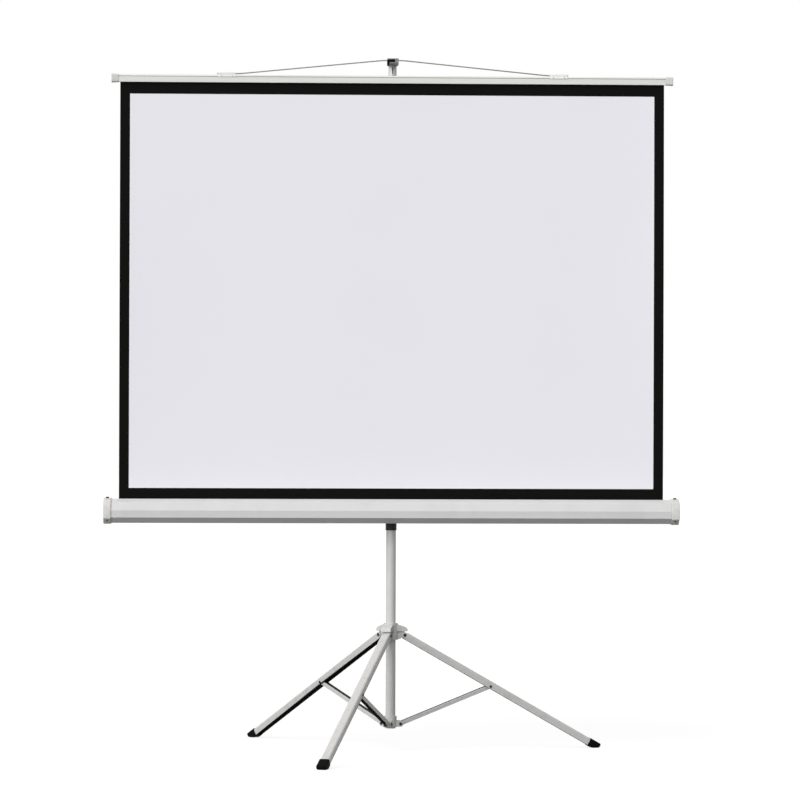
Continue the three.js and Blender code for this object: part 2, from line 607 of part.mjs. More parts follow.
// One leg with its foot, brace and pins, in a group turned to the leg's bearing
function buildLeg(name, bearing) {
  const place = new THREE.Group();
  place.rotation.z = THREE.MathUtils.degToRad(bearing);
  const leg = mesh(`leg_${name}`, legChannel(), silverPaint);
  leg.rotation.y = Math.PI / 2 - TILT;
  leg.position.set(HUB_PIVOT_RADIUS, 0, HUB_PIVOT_HEIGHT);
  const rivetPoint = bracePoint();
  const collar = new THREE.Vector2(COLLAR_PIVOT_RADIUS, COLLAR_PIVOT_HEIGHT);
  const reach = collar.clone().sub(rivetPoint);
  const brace = mesh(`brace_${name}`, braceChannel(reach.length()), silverPaint);
  brace.rotation.y = Math.atan2(-reach.y, reach.x);
  brace.position.set(rivetPoint.x, 0, rivetPoint.y);
  const span = LEG_WIDTH + 2 * GAP;
  const pinBody = headedPin(PIN_RADIUS, PIN_HEAD_RADIUS, PIN_HEAD, span);
  const pin = mesh(`leg_pivot_pin_${name}`, pinBody, steel);
  pin.position.copy(leg.position);
  const rivetBody = headedPin(RIVET_RADIUS, RIVET_HEAD_RADIUS, RIVET_HEAD, span);
  const rivet = mesh(`brace_rivet_${name}`, rivetBody, steel);
  rivet.position.copy(brace.position);
  place.add(leg, brace, pin, rivet, mesh(`foot_${name}`, rubberFoot(), blackRubber));
  return place;
}

/** The case's outline in (y, z), from the back edge of its fabric slot round to the front edge. */
function caseOutline() {
  const back = -CASE_BACK;
  const front = back - CASE_DEPTH;
  const upperEdge = CASE_TOP - CASE_BEVEL;
  const crease = upperEdge - CASE_UPPER;
  const lowerEdge = crease - CASE_LOWER;
  return [
    [FABRIC_Y + CASE_SLOT / 2, CASE_TOP], [back - CASE_BACK_DEPTH, CASE_TOP],
    [back, CASE_TOP - CASE_BACK_DROP], [back, CASE_BOTTOM + CASE_UNDER],
    [back - CASE_HEEL_DEPTH, CASE_BOTTOM], [front + CASE_UNDER_DEPTH, CASE_BOTTOM],
    [front + CASE_LOWER_DEPTH, lowerEdge], [front, crease], [front + CASE_UPPER_DEPTH, upperEdge],
    [front + CASE_BEVEL_DEPTH, CASE_TOP], [FABRIC_Y - CASE_SLOT / 2, CASE_TOP],
  ];
}

/** The case's outline without its slot. */
const caseSection = () => caseOutline().slice(1, -1);

function caseShell() {
  const outer = caseOutline();
  const lip = (point) => [point[0], CASE_TOP - CASE_WALL];
  const inner = offset(caseSection(), -CASE_WALL);
  const wall = [...outer, lip(outer.at(-1)), ...inner.reverse(), lip(outer[0])];
  const shell = prismX(polygon(wall), -CASE_LENGTH / 2, CASE_LENGTH / 2);
  const hole = rodY(BOLT_RADIUS + GAP, -CASE_BACK - CASE_WALL - OVERRUN, -CASE_BACK + OVERRUN, 0, ROLLER_Z);
  return mesh('case_shell', cut(shell, hole), silverPaint);
}

// End cap with a spigot inside the case and a socket for the roller's axle or pin
function caseCap(name, way) {
  const end = CASE_LENGTH / 2 + GAP;
  const body = prismX(polygon(offset(caseSection(), CAP_PROUD)), end, end + CAP_LENGTH, 1, CAP_ROUND);
  const ringOuter = polygon(offset(caseSection(), -CASE_WALL - GAP));
  ringOuter.holes.push(polygon(offset(caseSection(), -CASE_WALL - GAP - CAP_SPIGOT_WALL)));
  const spigot = prismX(ringOuter, end - CAP_SPIGOT, end + CAP_ROUND);
  const socket = rodX(SOCKET_RADIUS, end - SOCKET_LENGTH, end + CAP_ROUND, ROLLER_Y, ROLLER_Z);
  const bore = rodX(AXLE_RADIUS + GAP, end - SOCKET_LENGTH - OVERRUN, end, ROLLER_Y, ROLLER_Z);
  const slot = prismX(
    roundedRectangle(FABRIC_Y - CASE_SLOT / 2, ROLLER_Z, FABRIC_Y + CASE_SLOT / 2, CASE_TOP + OVERRUN, GAP),
    end - CAP_SPIGOT - OVERRUN, end - GAP,
  );
  const cap = cut(join(body, cut(spigot, slot), socket), bore);
  return mesh(name, cap.scale(way, 1, 1), greyPlastic);
}

// Carrier that clamps the case to the mast, with the bolt that the case is held by
function buildCarrier() {
  const foot = CASE_BOTTOM + CARRIER_LIFT;
  const top = foot + CARRIER_HEIGHT;
  const radius = MAST_RADIUS + GAP + CARRIER_WALL;
  const padFront = -CASE_BACK + GAP;
  const padShape = roundedRectangle(-CARRIER_WIDTH / 2, foot, CARRIER_WIDTH / 2, top, CARRIER_WALL);
  const pad = prismY(padShape, padFront, -MAST_RADIUS + CARRIER_WALL);
  const screwZ = (foot + top) / 2;
  const boss = rodY(KNOB_BOSS_RADIUS, MAST_RADIUS, radius + KNOB_BOSS, 0, screwZ);
  const skirtFoot = CASE_BOTTOM - CARRIER_SKIRT;
  const skirt = prismZ(disc(MAST_RADIUS + GAP + CARRIER_SKIRT_WALL), skirtFoot, top);
  const body = cut(
    join(prismZ(disc(radius), foot, top), skirt, pad, boss),
    prismZ(disc(MAST_RADIUS + GAP), skirtFoot - OVERRUN, top + OVERRUN),
    rodY(KNOB_SCREW + GAP, MAST_RADIUS, radius + KNOB_BOSS + OVERRUN, 0, screwZ),
    rodY(BOLT_RADIUS + GAP, padFront - OVERRUN, padFront + BOLT_GRIP, 0, ROLLER_Z),
  );
  const knobStart = MAST_RADIUS + GAP;
  const knob = clampKnob(radius + KNOB_BOSS + GAP - knobStart).translate(0, knobStart, screwZ);
  const headFace = -CASE_BACK - CASE_WALL - GAP;
  const bolt = join(
    rodY(BOLT_RADIUS, headFace - BOLT_HEAD / 2, padFront + BOLT_GRIP - GAP, 0, ROLLER_Z),
    rodY(BOLT_HEAD_RADIUS, headFace - BOLT_HEAD, headFace, 0, ROLLER_Z, 6),
  );
  return [
    mesh('case_carrier', body, blackPlastic),
    mesh('carrier_clamp_knob', knob, blackPlastic),
    mesh('case_pivot_bolt', bolt, steel),
  ];
}

/** The fabric still wound on the roller: a spiral in section, at the roller's own centre. */
function rolledFabric() {
  const steps = ROLL_STEPS * ROLL_TURNS;
  const side = (extra) => Array.from({ length: steps + 1 }, (_, i) => {
    const angle = (2 * Math.PI * ROLL_TURNS * i) / steps;
    const radius = ROLL_RADIUS - ROLL_TURN_PITCH * (ROLL_TURNS - (ROLL_TURNS * i) / steps) + extra;
    return [radius * Math.cos(angle), radius * Math.sin(angle)];
  });
  const inner = side(-FABRIC_THICK);
  const outer = side(0);
  return prismX(polygon([...outer, ...inner.reverse()]), -FABRIC_WIDTH / 2, FABRIC_WIDTH / 2);
}

/** The roller's torsion spring along +X from x = 0, one unbroken wire. */
function coilSpring(length) {
  const rings = SPRING_TURNS * SPRING_STEPS;
  const centres = Array.from({ length: rings + 1 }, (_, i) => {
    const angle = (2 * Math.PI * i) / SPRING_STEPS;
    const x = SPRING_WIRE + ((length - 2 * SPRING_WIRE) * i) / rings;
    return new THREE.Vector3(x, SPRING_RADIUS * Math.cos(angle), SPRING_RADIUS * Math.sin(angle));
  });
  const turnGap = centres[SPRING_STEPS].distanceTo(centres[0]) - 2 * SPRING_WIRE;
  console.log(`roller_spring least gap between turns ${turnGap.toFixed(2)} mm`);
  const positions = centres.flatMap((centre) => {
    const out = new THREE.Vector3(0, centre.y, centre.z).normalize();
    return Array.from({ length: SPRING_SIDES }, (_, k) => {
      const angle = (2 * Math.PI * k) / SPRING_SIDES;
      const point = centre.clone().addScaledVector(out, SPRING_WIRE * Math.cos(angle));
      return point.addScaledVector(X, SPRING_WIRE * Math.sin(angle)).toArray();
    }).flat();
  });
  const faces = [];
  for (let i = 0; i < rings; i += 1) {
    for (let k = 0; k < SPRING_SIDES; k += 1) {
      const a = i * SPRING_SIDES + k;
      const b = i * SPRING_SIDES + ((k + 1) % SPRING_SIDES);
      faces.push(a, b, a + SPRING_SIDES, b, b + SPRING_SIDES, a + SPRING_SIDES);
    }
  }
  const last = rings * SPRING_SIDES;
  for (let k = 1; k < SPRING_SIDES - 1; k += 1) {
    faces.push(0, k + 1, k, last, last + k, last + k + 1);
  }
  const geometry = new THREE.BufferGeometry();
  geometry.setAttribute('position', new THREE.Float32BufferAttribute(positions, 3));
  geometry.setIndex(faces);
  return geometry;
}

// Spring roller inside the case
function buildRoller() {
  const place = new THREE.Group();
  place.position.set(0, ROLLER_Y, ROLLER_Z);
  const half = FABRIC_WIDTH / 2 + ROLLER_SPARE;
  const bore = ROLLER_RADIUS - ROLLER_WALL;
  const socketEnd = CASE_LENGTH / 2 + GAP - SOCKET_LENGTH;
  const pinEnd = CASE_LENGTH / 2;
  const flange = half + GAP;
  const plugBody = (x0, x1) => join(
    rodX(bore - GAP, x0, x1, 0, 0),
    rodX(ROLLER_RADIUS, x1 - GAP, Math.min(x1 + PLUG_RIM, socketEnd - GAP), 0, 0),
  );
  const idler = join(plugBody(half - PLUG_LENGTH, flange), rodX(AXLE_RADIUS, half - OVERRUN, pinEnd, 0, 0));
  const axleBore = rodX(AXLE_RADIUS + GAP, 0, CASE_LENGTH, 0, 0);
  const springPlug = cut(plugBody(half - PLUG_LENGTH, flange), axleBore);
  const springStart = -half + PLUG_LENGTH + GAP;
  const axleEnd = -pinEnd + AXLE_LENGTH;
  const springEnd = axleEnd - AXLE_COLLAR - GAP;
  const axle = join(
    rodX(AXLE_RADIUS, -pinEnd, axleEnd, 0, 0),
    rodX(AXLE_COLLAR_RADIUS, axleEnd - AXLE_COLLAR, axleEnd, 0, 0),
  );
  const roller = prismX(ring(ROLLER_RADIUS, bore), -half, half, ROUND / 2);
  place.add(
    mesh('roller_tube', roller, steel),
    mesh('rolled_fabric', rolledFabric(), vinyl),
    mesh('idler_plug', idler, blackPlastic),
    mesh('spring_plug', springPlug.scale(-1, 1, 1), blackPlastic),
    mesh('spring_axle', axle, steel),
    mesh('roller_spring', coilSpring(springEnd - springStart).translate(springStart, 0, 0), steel),
  );
  return place;
}

function screenFabric() {
  const shape = polygon([
    [-FABRIC_WIDTH / 2, ROLLER_Z], [FABRIC_WIDTH / 2, ROLLER_Z],
    [FABRIC_WIDTH / 2, BAR_BOTTOM + HEM_DEPTH], [-FABRIC_WIDTH / 2, BAR_BOTTOM + HEM_DEPTH],
  ]);
  const sheet = prismY(shape, FABRIC_Y - FABRIC_THICK / 2, FABRIC_Y + FABRIC_THICK / 2);
  return mesh('screen_fabric', sheet, vinyl);
}

// Top bar: a hollow slat that grips the fabric's hem in the slot along its underside
function topBarShape() {
  const [half, slot] = [BAR_DEPTH / 2, FABRIC_THICK / 2 + GAP];
  const shape = new THREE.Shape();
  shape.moveTo(FABRIC_Y + slot, BAR_BOTTOM);
  shape.lineTo(FABRIC_Y + half, BAR_BOTTOM);
  shape.absarc(FABRIC_Y + half - BAR_CORNER, BAR_TOP - BAR_CORNER, BAR_CORNER, 0, Math.PI / 2);
  shape.absarc(FABRIC_Y - half + BAR_CORNER, BAR_TOP - BAR_CORNER, BAR_CORNER, Math.PI / 2, Math.PI);
  shape.lineTo(FABRIC_Y - half, BAR_BOTTOM);
  shape.lineTo(FABRIC_Y - slot, BAR_BOTTOM);
  const inner = BAR_CORNER - BAR_WALL;
  shape.lineTo(FABRIC_Y - slot, BAR_BOTTOM + BAR_WALL);
  shape.lineTo(FABRIC_Y - half + BAR_WALL, BAR_BOTTOM + BAR_WALL);
  shape.absarc(FABRIC_Y - half + BAR_CORNER, BAR_TOP - BAR_CORNER, inner, Math.PI, Math.PI / 2, true);
  shape.absarc(FABRIC_Y + half - BAR_CORNER, BAR_TOP - BAR_CORNER, inner, Math.PI / 2, 0, true);
  shape.lineTo(FABRIC_Y + half - BAR_WALL, BAR_BOTTOM + BAR_WALL);
  shape.lineTo(FABRIC_Y + slot, BAR_BOTTOM + BAR_WALL);
  return shape;
}

// End cap of the top bar, flared towards its end, on a spigot inside the bar
function barCap(name, way) {
  const start = BAR_LENGTH / 2 + GAP;
  const half = BAR_DEPTH / 2;
  const midZ = (BAR_BOTTOM + BAR_TOP) / 2;
  const side = half + BAR_CAP_PROUD;
  const section = roundedRectangle(
    FABRIC_Y - side, BAR_BOTTOM - BAR_CAP_PROUD, FABRIC_Y + side, BAR_TOP + BAR_CAP_PROUD, BAR_CORNER,
  );
  const body = prismX(section, start, start + BAR_CAP_LENGTH, ARC, BAR_CAP_EDGE);
  const place = body.attributes.position;
  for (let i = 0; i < place.count; i += 1) {
    const flare = 1 + ((BAR_CAP_FLARE - 1) * (place.getX(i) - start)) / BAR_CAP_LENGTH;
    place.setY(i, FABRIC_Y + (place.getY(i) - FABRIC_Y) * flare);
    place.setZ(i, midZ + (place.getZ(i) - midZ) * flare);
  }
  const inset = BAR_WALL + GAP;
  const spigot = prismX(
    roundedRectangle(
      FABRIC_Y - half + inset, BAR_BOTTOM + HEM_DEPTH + GAP, FABRIC_Y + half - inset, BAR_TOP - inset,
      BAR_CORNER - inset,
    ),
    start - BAR_CAP_SPIGOT, start + BAR_CAP_EDGE * 2,
  );
  return mesh(name, join(body, spigot).scale(way, 1, 1), greyPlastic);
}

// Clip that saddles the top bar and holds one end of the bail in a bead
function bailClip(name, way) {
  const half = BAR_DEPTH / 2 + GAP;
  const outer = half + CLIP_WALL;
  const corner = BAR_CORNER + GAP;
  const shape = new THREE.Shape();
  shape.moveTo(FABRIC_Y + half, BAR_TOP - CLIP_LEG);
  shape.lineTo(FABRIC_Y + outer, BAR_TOP - CLIP_LEG);
  shape.absarc(FABRIC_Y + half - corner, BAR_TOP - BAR_CORNER, corner + CLIP_WALL, 0, Math.PI / 2);
  shape.absarc(FABRIC_Y - half + corner, BAR_TOP - BAR_CORNER, corner + CLIP_WALL, Math.PI / 2, Math.PI);
  shape.lineTo(FABRIC_Y - outer, BAR_TOP - CLIP_LEG);
  shape.lineTo(FABRIC_Y - half, BAR_TOP - CLIP_LEG);
  shape.absarc(FABRIC_Y - half + corner, BAR_TOP - BAR_CORNER, corner, Math.PI, Math.PI / 2, true);
  shape.absarc(FABRIC_Y + half - corner, BAR_TOP - BAR_CORNER, corner, Math.PI / 2, 0, true);
  const [x0, x1] = [CLIP_SPAN / 2 - CLIP_LENGTH / 2, CLIP_SPAN / 2 + CLIP_LENGTH / 2];
  const saddle = join(prismX(shape, x0, x1), rodX(CLIP_BEAD, x0, x1, FABRIC_Y, WIRE_Z + GAP));
  const hollow = rodX(BAIL_RADIUS + GAP, x0 - OVERRUN, x1 + OVERRUN, FABRIC_Y, WIRE_Z + GAP);
  const barRoom = prismX(
    roundedRectangle(FABRIC_Y - half, BAR_BOTTOM, FABRIC_Y + half, BAR_TOP + GAP, corner),
    x0 - OVERRUN, x1 + OVERRUN,
  );
  return mesh(name, cut(saddle, hollow, barRoom).scale(way, 1, 1), steel);
}

// Bail: one wire from clip to clip, level over the hook that it hangs on
function bailWire() {
  const clipZ = WIRE_Z + GAP;
  const end = CLIP_SPAN / 2 + CLIP_LENGTH / 2 + BAIL_END;
  const low = CLIP_SPAN / 2 - CLIP_LENGTH / 2 - BAIL_BEND;
  const high = HOOK_WIDTH / 2 + BAIL_BEND;
  const corners = [
    [-end, clipZ], [-low, clipZ], [-high, HOOK_WIRE_Z], [high, HOOK_WIRE_Z], [low, clipZ], [end, clipZ],
  ].map(([x, z]) => new THREE.Vector3(x, FABRIC_Y, z));
  const route = new THREE.CurvePath();
  let from = corners[0];
  for (let i = 1; i < corners.length - 1; i += 1) {
    const towards = (point) => point.clone().sub(corners[i]).setLength(BAIL_BEND).add(corners[i]);
    const [before, after] = [towards(corners[i - 1]), towards(corners[i + 1])];
    route.add(new THREE.LineCurve3(from, before));
    route.add(new THREE.QuadraticBezierCurve3(before, corners[i], after));
    from = after;
  }
  route.add(new THREE.LineCurve3(from, corners.at(-1)));
  const sweep = { steps: BAIL_STEPS, extrudePath: route, curveSegments: BAIL_SIDES / 2 };
  const wire = new THREE.ExtrudeGeometry(disc(BAIL_RADIUS), sweep);
  return mesh('bail_wire', wire, steel);
}

const screen = new THREE.Group();
screen.name = 'tripod_projection_screen';
const stand = new THREE.Group();
stand.add(...buildMast(), ...buildExtension(), ...buildCarrier(), buildHub(), lowerCollar());
for (const [name, bearing] of Object.entries(LEG_BEARINGS)) stand.add(buildLeg(name, bearing));
stand.add(caseShell(), caseCap('case_cap_left', -1), caseCap('case_cap_right', 1), buildRoller());
stand.add(
  screenFabric(),
  mesh('top_bar', prismX(topBarShape(), -BAR_LENGTH / 2, BAR_LENGTH / 2), aluminium),
  barCap('top_bar_cap_left', -1), barCap('top_bar_cap_right', 1),
  bailClip('bail_clip_left', -1), bailClip('bail_clip_right', 1), bailWire(),
);
screen.add(stand);

// The origin is on the floor, under the middle of the whole object's box
const box = new THREE.Box3().setFromObject(stand);
const middle = box.getCenter(new THREE.Vector3());
stand.position.set(-middle.x, -middle.y, -box.min.z);
screen.updateMatrixWorld(true);

export default screen;
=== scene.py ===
"""Looks of a pull-up projection screen on a tripod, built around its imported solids.

Every piece is in metres in the solids' own frame: +Z up, the screen faces -Y, the floor at z = 0.
"""

import json
import logging
import math
from dataclasses import dataclass, field
from enum import Enum
from typing import Callable, Dict, List, Optional, Sequence, Tuple

import bpy
from mathutils import Matrix, Vector

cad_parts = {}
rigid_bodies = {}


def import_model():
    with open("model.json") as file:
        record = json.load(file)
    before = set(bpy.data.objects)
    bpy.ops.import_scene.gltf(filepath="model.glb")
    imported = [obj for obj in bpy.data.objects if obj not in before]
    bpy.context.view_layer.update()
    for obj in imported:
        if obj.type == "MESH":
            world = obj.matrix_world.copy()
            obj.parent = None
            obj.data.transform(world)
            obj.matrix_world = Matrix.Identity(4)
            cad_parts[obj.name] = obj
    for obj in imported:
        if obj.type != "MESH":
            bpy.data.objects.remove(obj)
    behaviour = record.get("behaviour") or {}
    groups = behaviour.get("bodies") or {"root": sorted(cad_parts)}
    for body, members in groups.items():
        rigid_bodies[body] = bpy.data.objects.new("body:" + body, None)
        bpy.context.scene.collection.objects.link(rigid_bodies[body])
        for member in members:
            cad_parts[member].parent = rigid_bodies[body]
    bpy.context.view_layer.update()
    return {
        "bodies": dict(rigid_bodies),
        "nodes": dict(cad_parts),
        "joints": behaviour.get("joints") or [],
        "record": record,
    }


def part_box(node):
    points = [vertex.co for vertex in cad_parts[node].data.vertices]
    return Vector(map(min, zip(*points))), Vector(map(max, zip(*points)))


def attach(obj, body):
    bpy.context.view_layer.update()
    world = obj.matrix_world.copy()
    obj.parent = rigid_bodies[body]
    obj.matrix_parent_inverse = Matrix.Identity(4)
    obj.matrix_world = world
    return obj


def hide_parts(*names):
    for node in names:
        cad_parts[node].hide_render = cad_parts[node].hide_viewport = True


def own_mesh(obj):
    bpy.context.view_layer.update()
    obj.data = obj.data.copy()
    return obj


LOG = logging.getLogger("tripod_screen")
MM = 0.001
IMAGE_SIDE = 800  # pixels, the photograph's frame

Point = Tuple[float, float, float]


class Side(Enum):
    """An end of the case or of the top bar, as the audience sees it."""

    LEFT = -1
    RIGHT = 1


class Edge(Enum):
    """How far the edges of a formed or moulded piece are rounded, in metres."""

    CRISP = 0.35 * MM
    FORMED = 0.7 * MM
    MOULDED = 1.2 * MM
    SOFT = 2.0 * MM


def linear(hex_colour: str) -> Tuple[float, float, float, float]:
    """Turns an sRGB hex colour to linear RGBA.

    Args:
        hex_colour: Six hex digits after a hash.

    Returns:
        The linear colour with full alpha.
    """
    values = [int(hex_colour[i : i + 2], 16) / 255 for i in (1, 3, 5)]
    low, split, power = 12.92, 0.04045, 2.4
    return (*[v / low if v <= split else ((v + 0.055) / 1.055) ** power for v in values], 1.0)


def add_node(
    tree: bpy.types.NodeTree,
    kind: str,
    settings: Optional[Dict[str, object]] = None,
    inputs: Optional[Dict[object, object]] = None,
) -> bpy.types.Node:
    """Adds a node, sets it and links it.

    Args:
        tree: The material's or world's node tree.
        kind: The node's type name.
        settings: Values for the node's own properties.
        inputs: Values or output sockets for its inputs, by name or number.

    Returns:
        The new node.
    """
    node = tree.nodes.new(kind)
    for name, value in (settings or {}).items():
        setattr(node, name, value)
    for name, value in (inputs or {}).items():
        if isinstance(value, bpy.types.NodeSocket):
            tree.links.new(value, node.inputs[name])
        else:
            node.inputs[name].default_value = value
    return node


def fresh_tree(name: str) -> Tuple[bpy.types.Material, bpy.types.NodeTree, bpy.types.Node]:
    """Makes an empty material.

    Args:
        name: The material's name.

    Returns:
        The material, its node tree and its output node.
    """
    material = bpy.data.materials.new(name)
    material.use_nodes = True
    tree = material.node_tree
    tree.nodes.clear()
    return material, tree, add_node(tree, "ShaderNodeOutputMaterial")


def tone_ramp(tree: bpy.types.NodeTree, factor: bpy.types.NodeSocket, tones: Sequence[str]) -> bpy.types.NodeSocket:
    """Spreads a few close tones of one colour over a pattern.

    Args:
        tree: The node tree.
        factor: The pattern.
        tones: Hex colours from the pattern's low to its high parts.

    Returns:
        The colour socket.
    """
    ramp = add_node(tree, "ShaderNodeValToRGB", inputs={"Fac": factor})
    first, last = 0.3, 0.7
    stops = ramp.color_ramp.elements
    stops[0].position, stops[1].position = first, last
    stops[0].color, stops[1].color = linear(tones[0]), linear(tones[-1])
    for i, tone in enumerate(tones[1:-1], start=1):
        stop = stops.new(first + (last - first) * i / (len(tones) - 1))
        stop.color = linear(tone)
    return ramp.outputs["Color"]


@dataclass(frozen=True)
class Finish:
    """A rigid piece's finish: clouded tone, fine grain in its gloss and relief.

    The clouds are broad, as handling and coating leave them. The grain's real size is under a
    millimetre, so it is drawn coarser than life to show at all at the photograph's distance.
    """

    name: str
    tones: Tuple[str, ...]
    roughness: float
    metallic: float = 0.0
    cloud_mm: float = 90.0
    grain_mm: float = 3.0
    grain_height_mm: float = 0.02
    gloss_spread: float = 0.06
    stretch: Point = (1.0, 1.0, 1.0)
    specular: float = 0.5
    edge_tone: Optional[str] = None

    def build(self) -> bpy.types.Material:
        """Makes the material.

        Returns:
            The new material.
        """
        material, tree, output = fresh_tree(self.name)
        place = add_node(tree, "ShaderNodeTexCoord").outputs["Object"]
        drawn = add_node(tree, "ShaderNodeMapping", inputs={"Vector": place, "Scale": self.stretch})
        spot = drawn.outputs["Vector"]
        clouds = add_node(
            tree,
            "ShaderNodeTexNoise",
            inputs={"Vector": spot, "Scale": 1 / (self.cloud_mm * MM), "Detail": 4.0, "Roughness": 0.6},
        )
        grain = add_node(
            tree,
            "ShaderNodeTexNoise",
            inputs={"Vector": spot, "Scale": 1 / (self.grain_mm * MM), "Detail": 2.0, "Roughness": 0.55},
        )
        colour = tone_ramp(tree, clouds.outputs["Fac"], self.tones)
        if self.edge_tone:
            colour = self._worn_edges(tree, colour, grain.outputs["Fac"])
        gloss = add_node(
            tree,
            "ShaderNodeMapRange",
            inputs={
                "Value": grain.outputs["Fac"],
                "From Min": 0.3,
                "From Max": 0.7,
                "To Min": max(0.02, self.roughness - self.gloss_spread),
                "To Max": min(1.0, self.roughness + self.gloss_spread),
            },
        )
        relief = add_node(
            tree,
            "ShaderNodeBump",
            inputs={"Height": grain.outputs["Fac"], "Distance": self.grain_height_mm * MM, "Strength": 0.6},
        )
        shader = add_node(
            tree,
            "ShaderNodeBsdfPrincipled",
            inputs={
                "Base Color": colour,
                "Metallic": self.metallic,
                "Roughness": gloss.outputs["Result"],
                "Normal": relief.outputs["Normal"],
                "Specular IOR Level": self.specular,
            },
        )
        tree.links.new(shader.outputs["BSDF"], output.inputs["Surface"])
        return material

    def _worn_edges(
        self, tree: bpy.types.NodeTree, colour: bpy.types.NodeSocket, grain: bpy.types.NodeSocket
    ) -> bpy.types.NodeSocket:
        """Rubs the finish through along outer edges.

        Args:
            tree: The node tree.
            colour: The finish's own colour.
            grain: A pattern that breaks the rubbed line up.

        Returns:
            The colour with its edges rubbed.
        """
        sharp = add_node(tree, "ShaderNodeNewGeometry").outputs["Pointiness"]
        edge = add_node(
            tree, "ShaderNodeMapRange", inputs={"Value": sharp, "From Min": 0.53, "From Max": 0.62, "To Max": 0.7}
        )
        broken = add_node(
            tree, "ShaderNodeMath", {"operation": "MULTIPLY"}, {0: edge.outputs["Result"], 1: grain}
        )
        mix = add_node(
            tree,
            "ShaderNodeMix",
            {"data_type": "RGBA"},
            {"Factor": broken.outputs["Value"], 6: colour, 7: linear(self.edge_tone)},
        )
        return mix.outputs[2]


@dataclass(frozen=True)
class SheetFaceFinish:
    """Matte white screen vinyl with its black border printed on, read from the sheet's own map.

    Calendered vinyl on glass cloth: a dead matte face with a fine pressed grain, no thread showing.
    """

    name: str
    white: Tuple[str, ...]
    border: str
    across_m: float
    along_m: float
    side_m: float
    bottom_m: float
    top_m: float
    grain_mm: float = 5.0
    cloud_mm: float = 420.0

    def _beyond(
        self, tree: bpy.types.NodeTree, value: bpy.types.NodeSocket, limit: float, below: bool
    ) -> bpy.types.NodeSocket:
        """Tells where a coordinate of the map is past a limit.

        Args:
            tree: The node tree.
            value: The coordinate, from 0 to 1.
            limit: The limit.
            below: True for the part under the limit.

        Returns:
            A socket that is 1 there and 0 elsewhere.
        """
        kind = "LESS_THAN" if below else "GREATER_THAN"
        test = add_node(tree, "ShaderNodeMath", {"operation": kind}, {0: value, 1: limit})
        return test.outputs["Value"]

    def build(self) -> bpy.types.Material:
        """Makes the material.

        Returns:
            The new material.
        """
        material, tree, output = fresh_tree(self.name)
        chart = add_node(tree, "ShaderNodeUVMap").outputs["UV"]
        parts = add_node(tree, "ShaderNodeSeparateXYZ", inputs={"Vector": chart})
        u, v = parts.outputs["X"], parts.outputs["Y"]
        edges = [
            self._beyond(tree, u, self.side_m / self.across_m, True),
            self._beyond(tree, u, 1 - self.side_m / self.across_m, False),
            self._beyond(tree, v, self.bottom_m / self.along_m, True),
            self._beyond(tree, v, 1 - self.top_m / self.along_m, False),
        ]
        printed = edges[0]
        for edge in edges[1:]:
            either = add_node(tree, "ShaderNodeMath", {"operation": "MAXIMUM"}, {0: printed, 1: edge})
            printed = either.outputs["Value"]
        size = (self.across_m, self.along_m, 1.0)
        flat = add_node(tree, "ShaderNodeMapping", inputs={"Vector": chart, "Scale": size}).outputs["Vector"]
        clouds = add_node(
            tree, "ShaderNodeTexNoise", inputs={"Vector": flat, "Scale": 1 / (self.cloud_mm * MM), "Detail": 2.0}
        )
        grain = add_node(
            tree, "ShaderNodeTexNoise", inputs={"Vector": flat, "Scale": 1 / (self.grain_mm * MM), "Detail": 3.0}
        )
        white = tone_ramp(tree, clouds.outputs["Fac"], self.white)
        colour = add_node(
            tree, "ShaderNodeMix", {"data_type": "RGBA"}, {"Factor": printed, 6: white, 7: linear(self.border)}
        )
        gloss = add_node(tree, "ShaderNodeMapRange", inputs={"Value": printed, "To Min": 0.9, "To Max": 0.8})
        relief = add_node(
            tree, "ShaderNodeBump", inputs={"Height": grain.outputs["Fac"], "Distance": 0.05 * MM, "Strength": 0.35}
        )
        shader = add_node(
            tree,
            "ShaderNodeBsdfPrincipled",
            inputs={
                "Base Color": colour.outputs[2],
                "Roughness": gloss.outputs["Result"],
                "Specular IOR Level": 0.06,
                "Normal": relief.outputs["Normal"],
            },
        )
        tree.links.new(shader.outputs["BSDF"], output.inputs["Surface"])
        return material


# Satin silver-grey powder coat over steel: broad soft highlights, a faint orange-peel, no flake.
CASE_PAINT = Finish(
    "satin_powder_coat_case", ("#c3c2c2", "#c7c6c6", "#c1c0c0"), 0.45, cloud_mm=140, edge_tone="#dededc"
)
# The mast's coat is a tone greyer and a little glossier, on a drawn and polished tube.
MAST_PAINT = Finish(
    "satin_powder_coat_mast", ("#c2c2c0", "#c7c7c5", "#bfbfbd"), 0.36, cloud_mm=120, grain_height_mm=0.01
)
# The legs' rolled channels show small clouds of tone and a coarser peel under the same coat.
LEG_PAINT = Finish(
    "satin_powder_coat_leg",
    ("#b0afad", "#bdbcba", "#b7b6b4"),
    0.4,
    cloud_mm=35,
    grain_mm=4,
    grain_height_mm=0.03,
    edge_tone="#d8d8d6",
)
# Clear-anodised aluminium extrusion: fine drawing lines along its length, soft white sheen.
DRAWN_ALUMINIUM_X = Finish(
    "anodised_aluminium_bar",
    ("#cdcdca", "#d2d2ce", "#c8c8c5"),
    0.48,
    metallic=0.2,
    cloud_mm=60,
    grain_mm=2.5,
    stretch=(0.04, 1.0, 1.0),
)
DRAWN_ALUMINIUM_Z = Finish(
    "anodised_aluminium_tube",
    ("#bcbcba", "#c4c4c1", "#b6b6b4"),
    0.42,
    metallic=0.15,
    cloud_mm=50,
    grain_mm=2.5,
    stretch=(1.0, 1.0, 0.04),
)
# Zinc-plated steel: bright grey, a little clouded, slightly yellowed gloss.
ZINC_STEEL = Finish(
    "zinc_plated_steel", ("#a9a9a8", "#b9b9b6", "#9d9d9c"), 0.34, metallic=0.85, cloud_mm=14, grain_mm=2
)
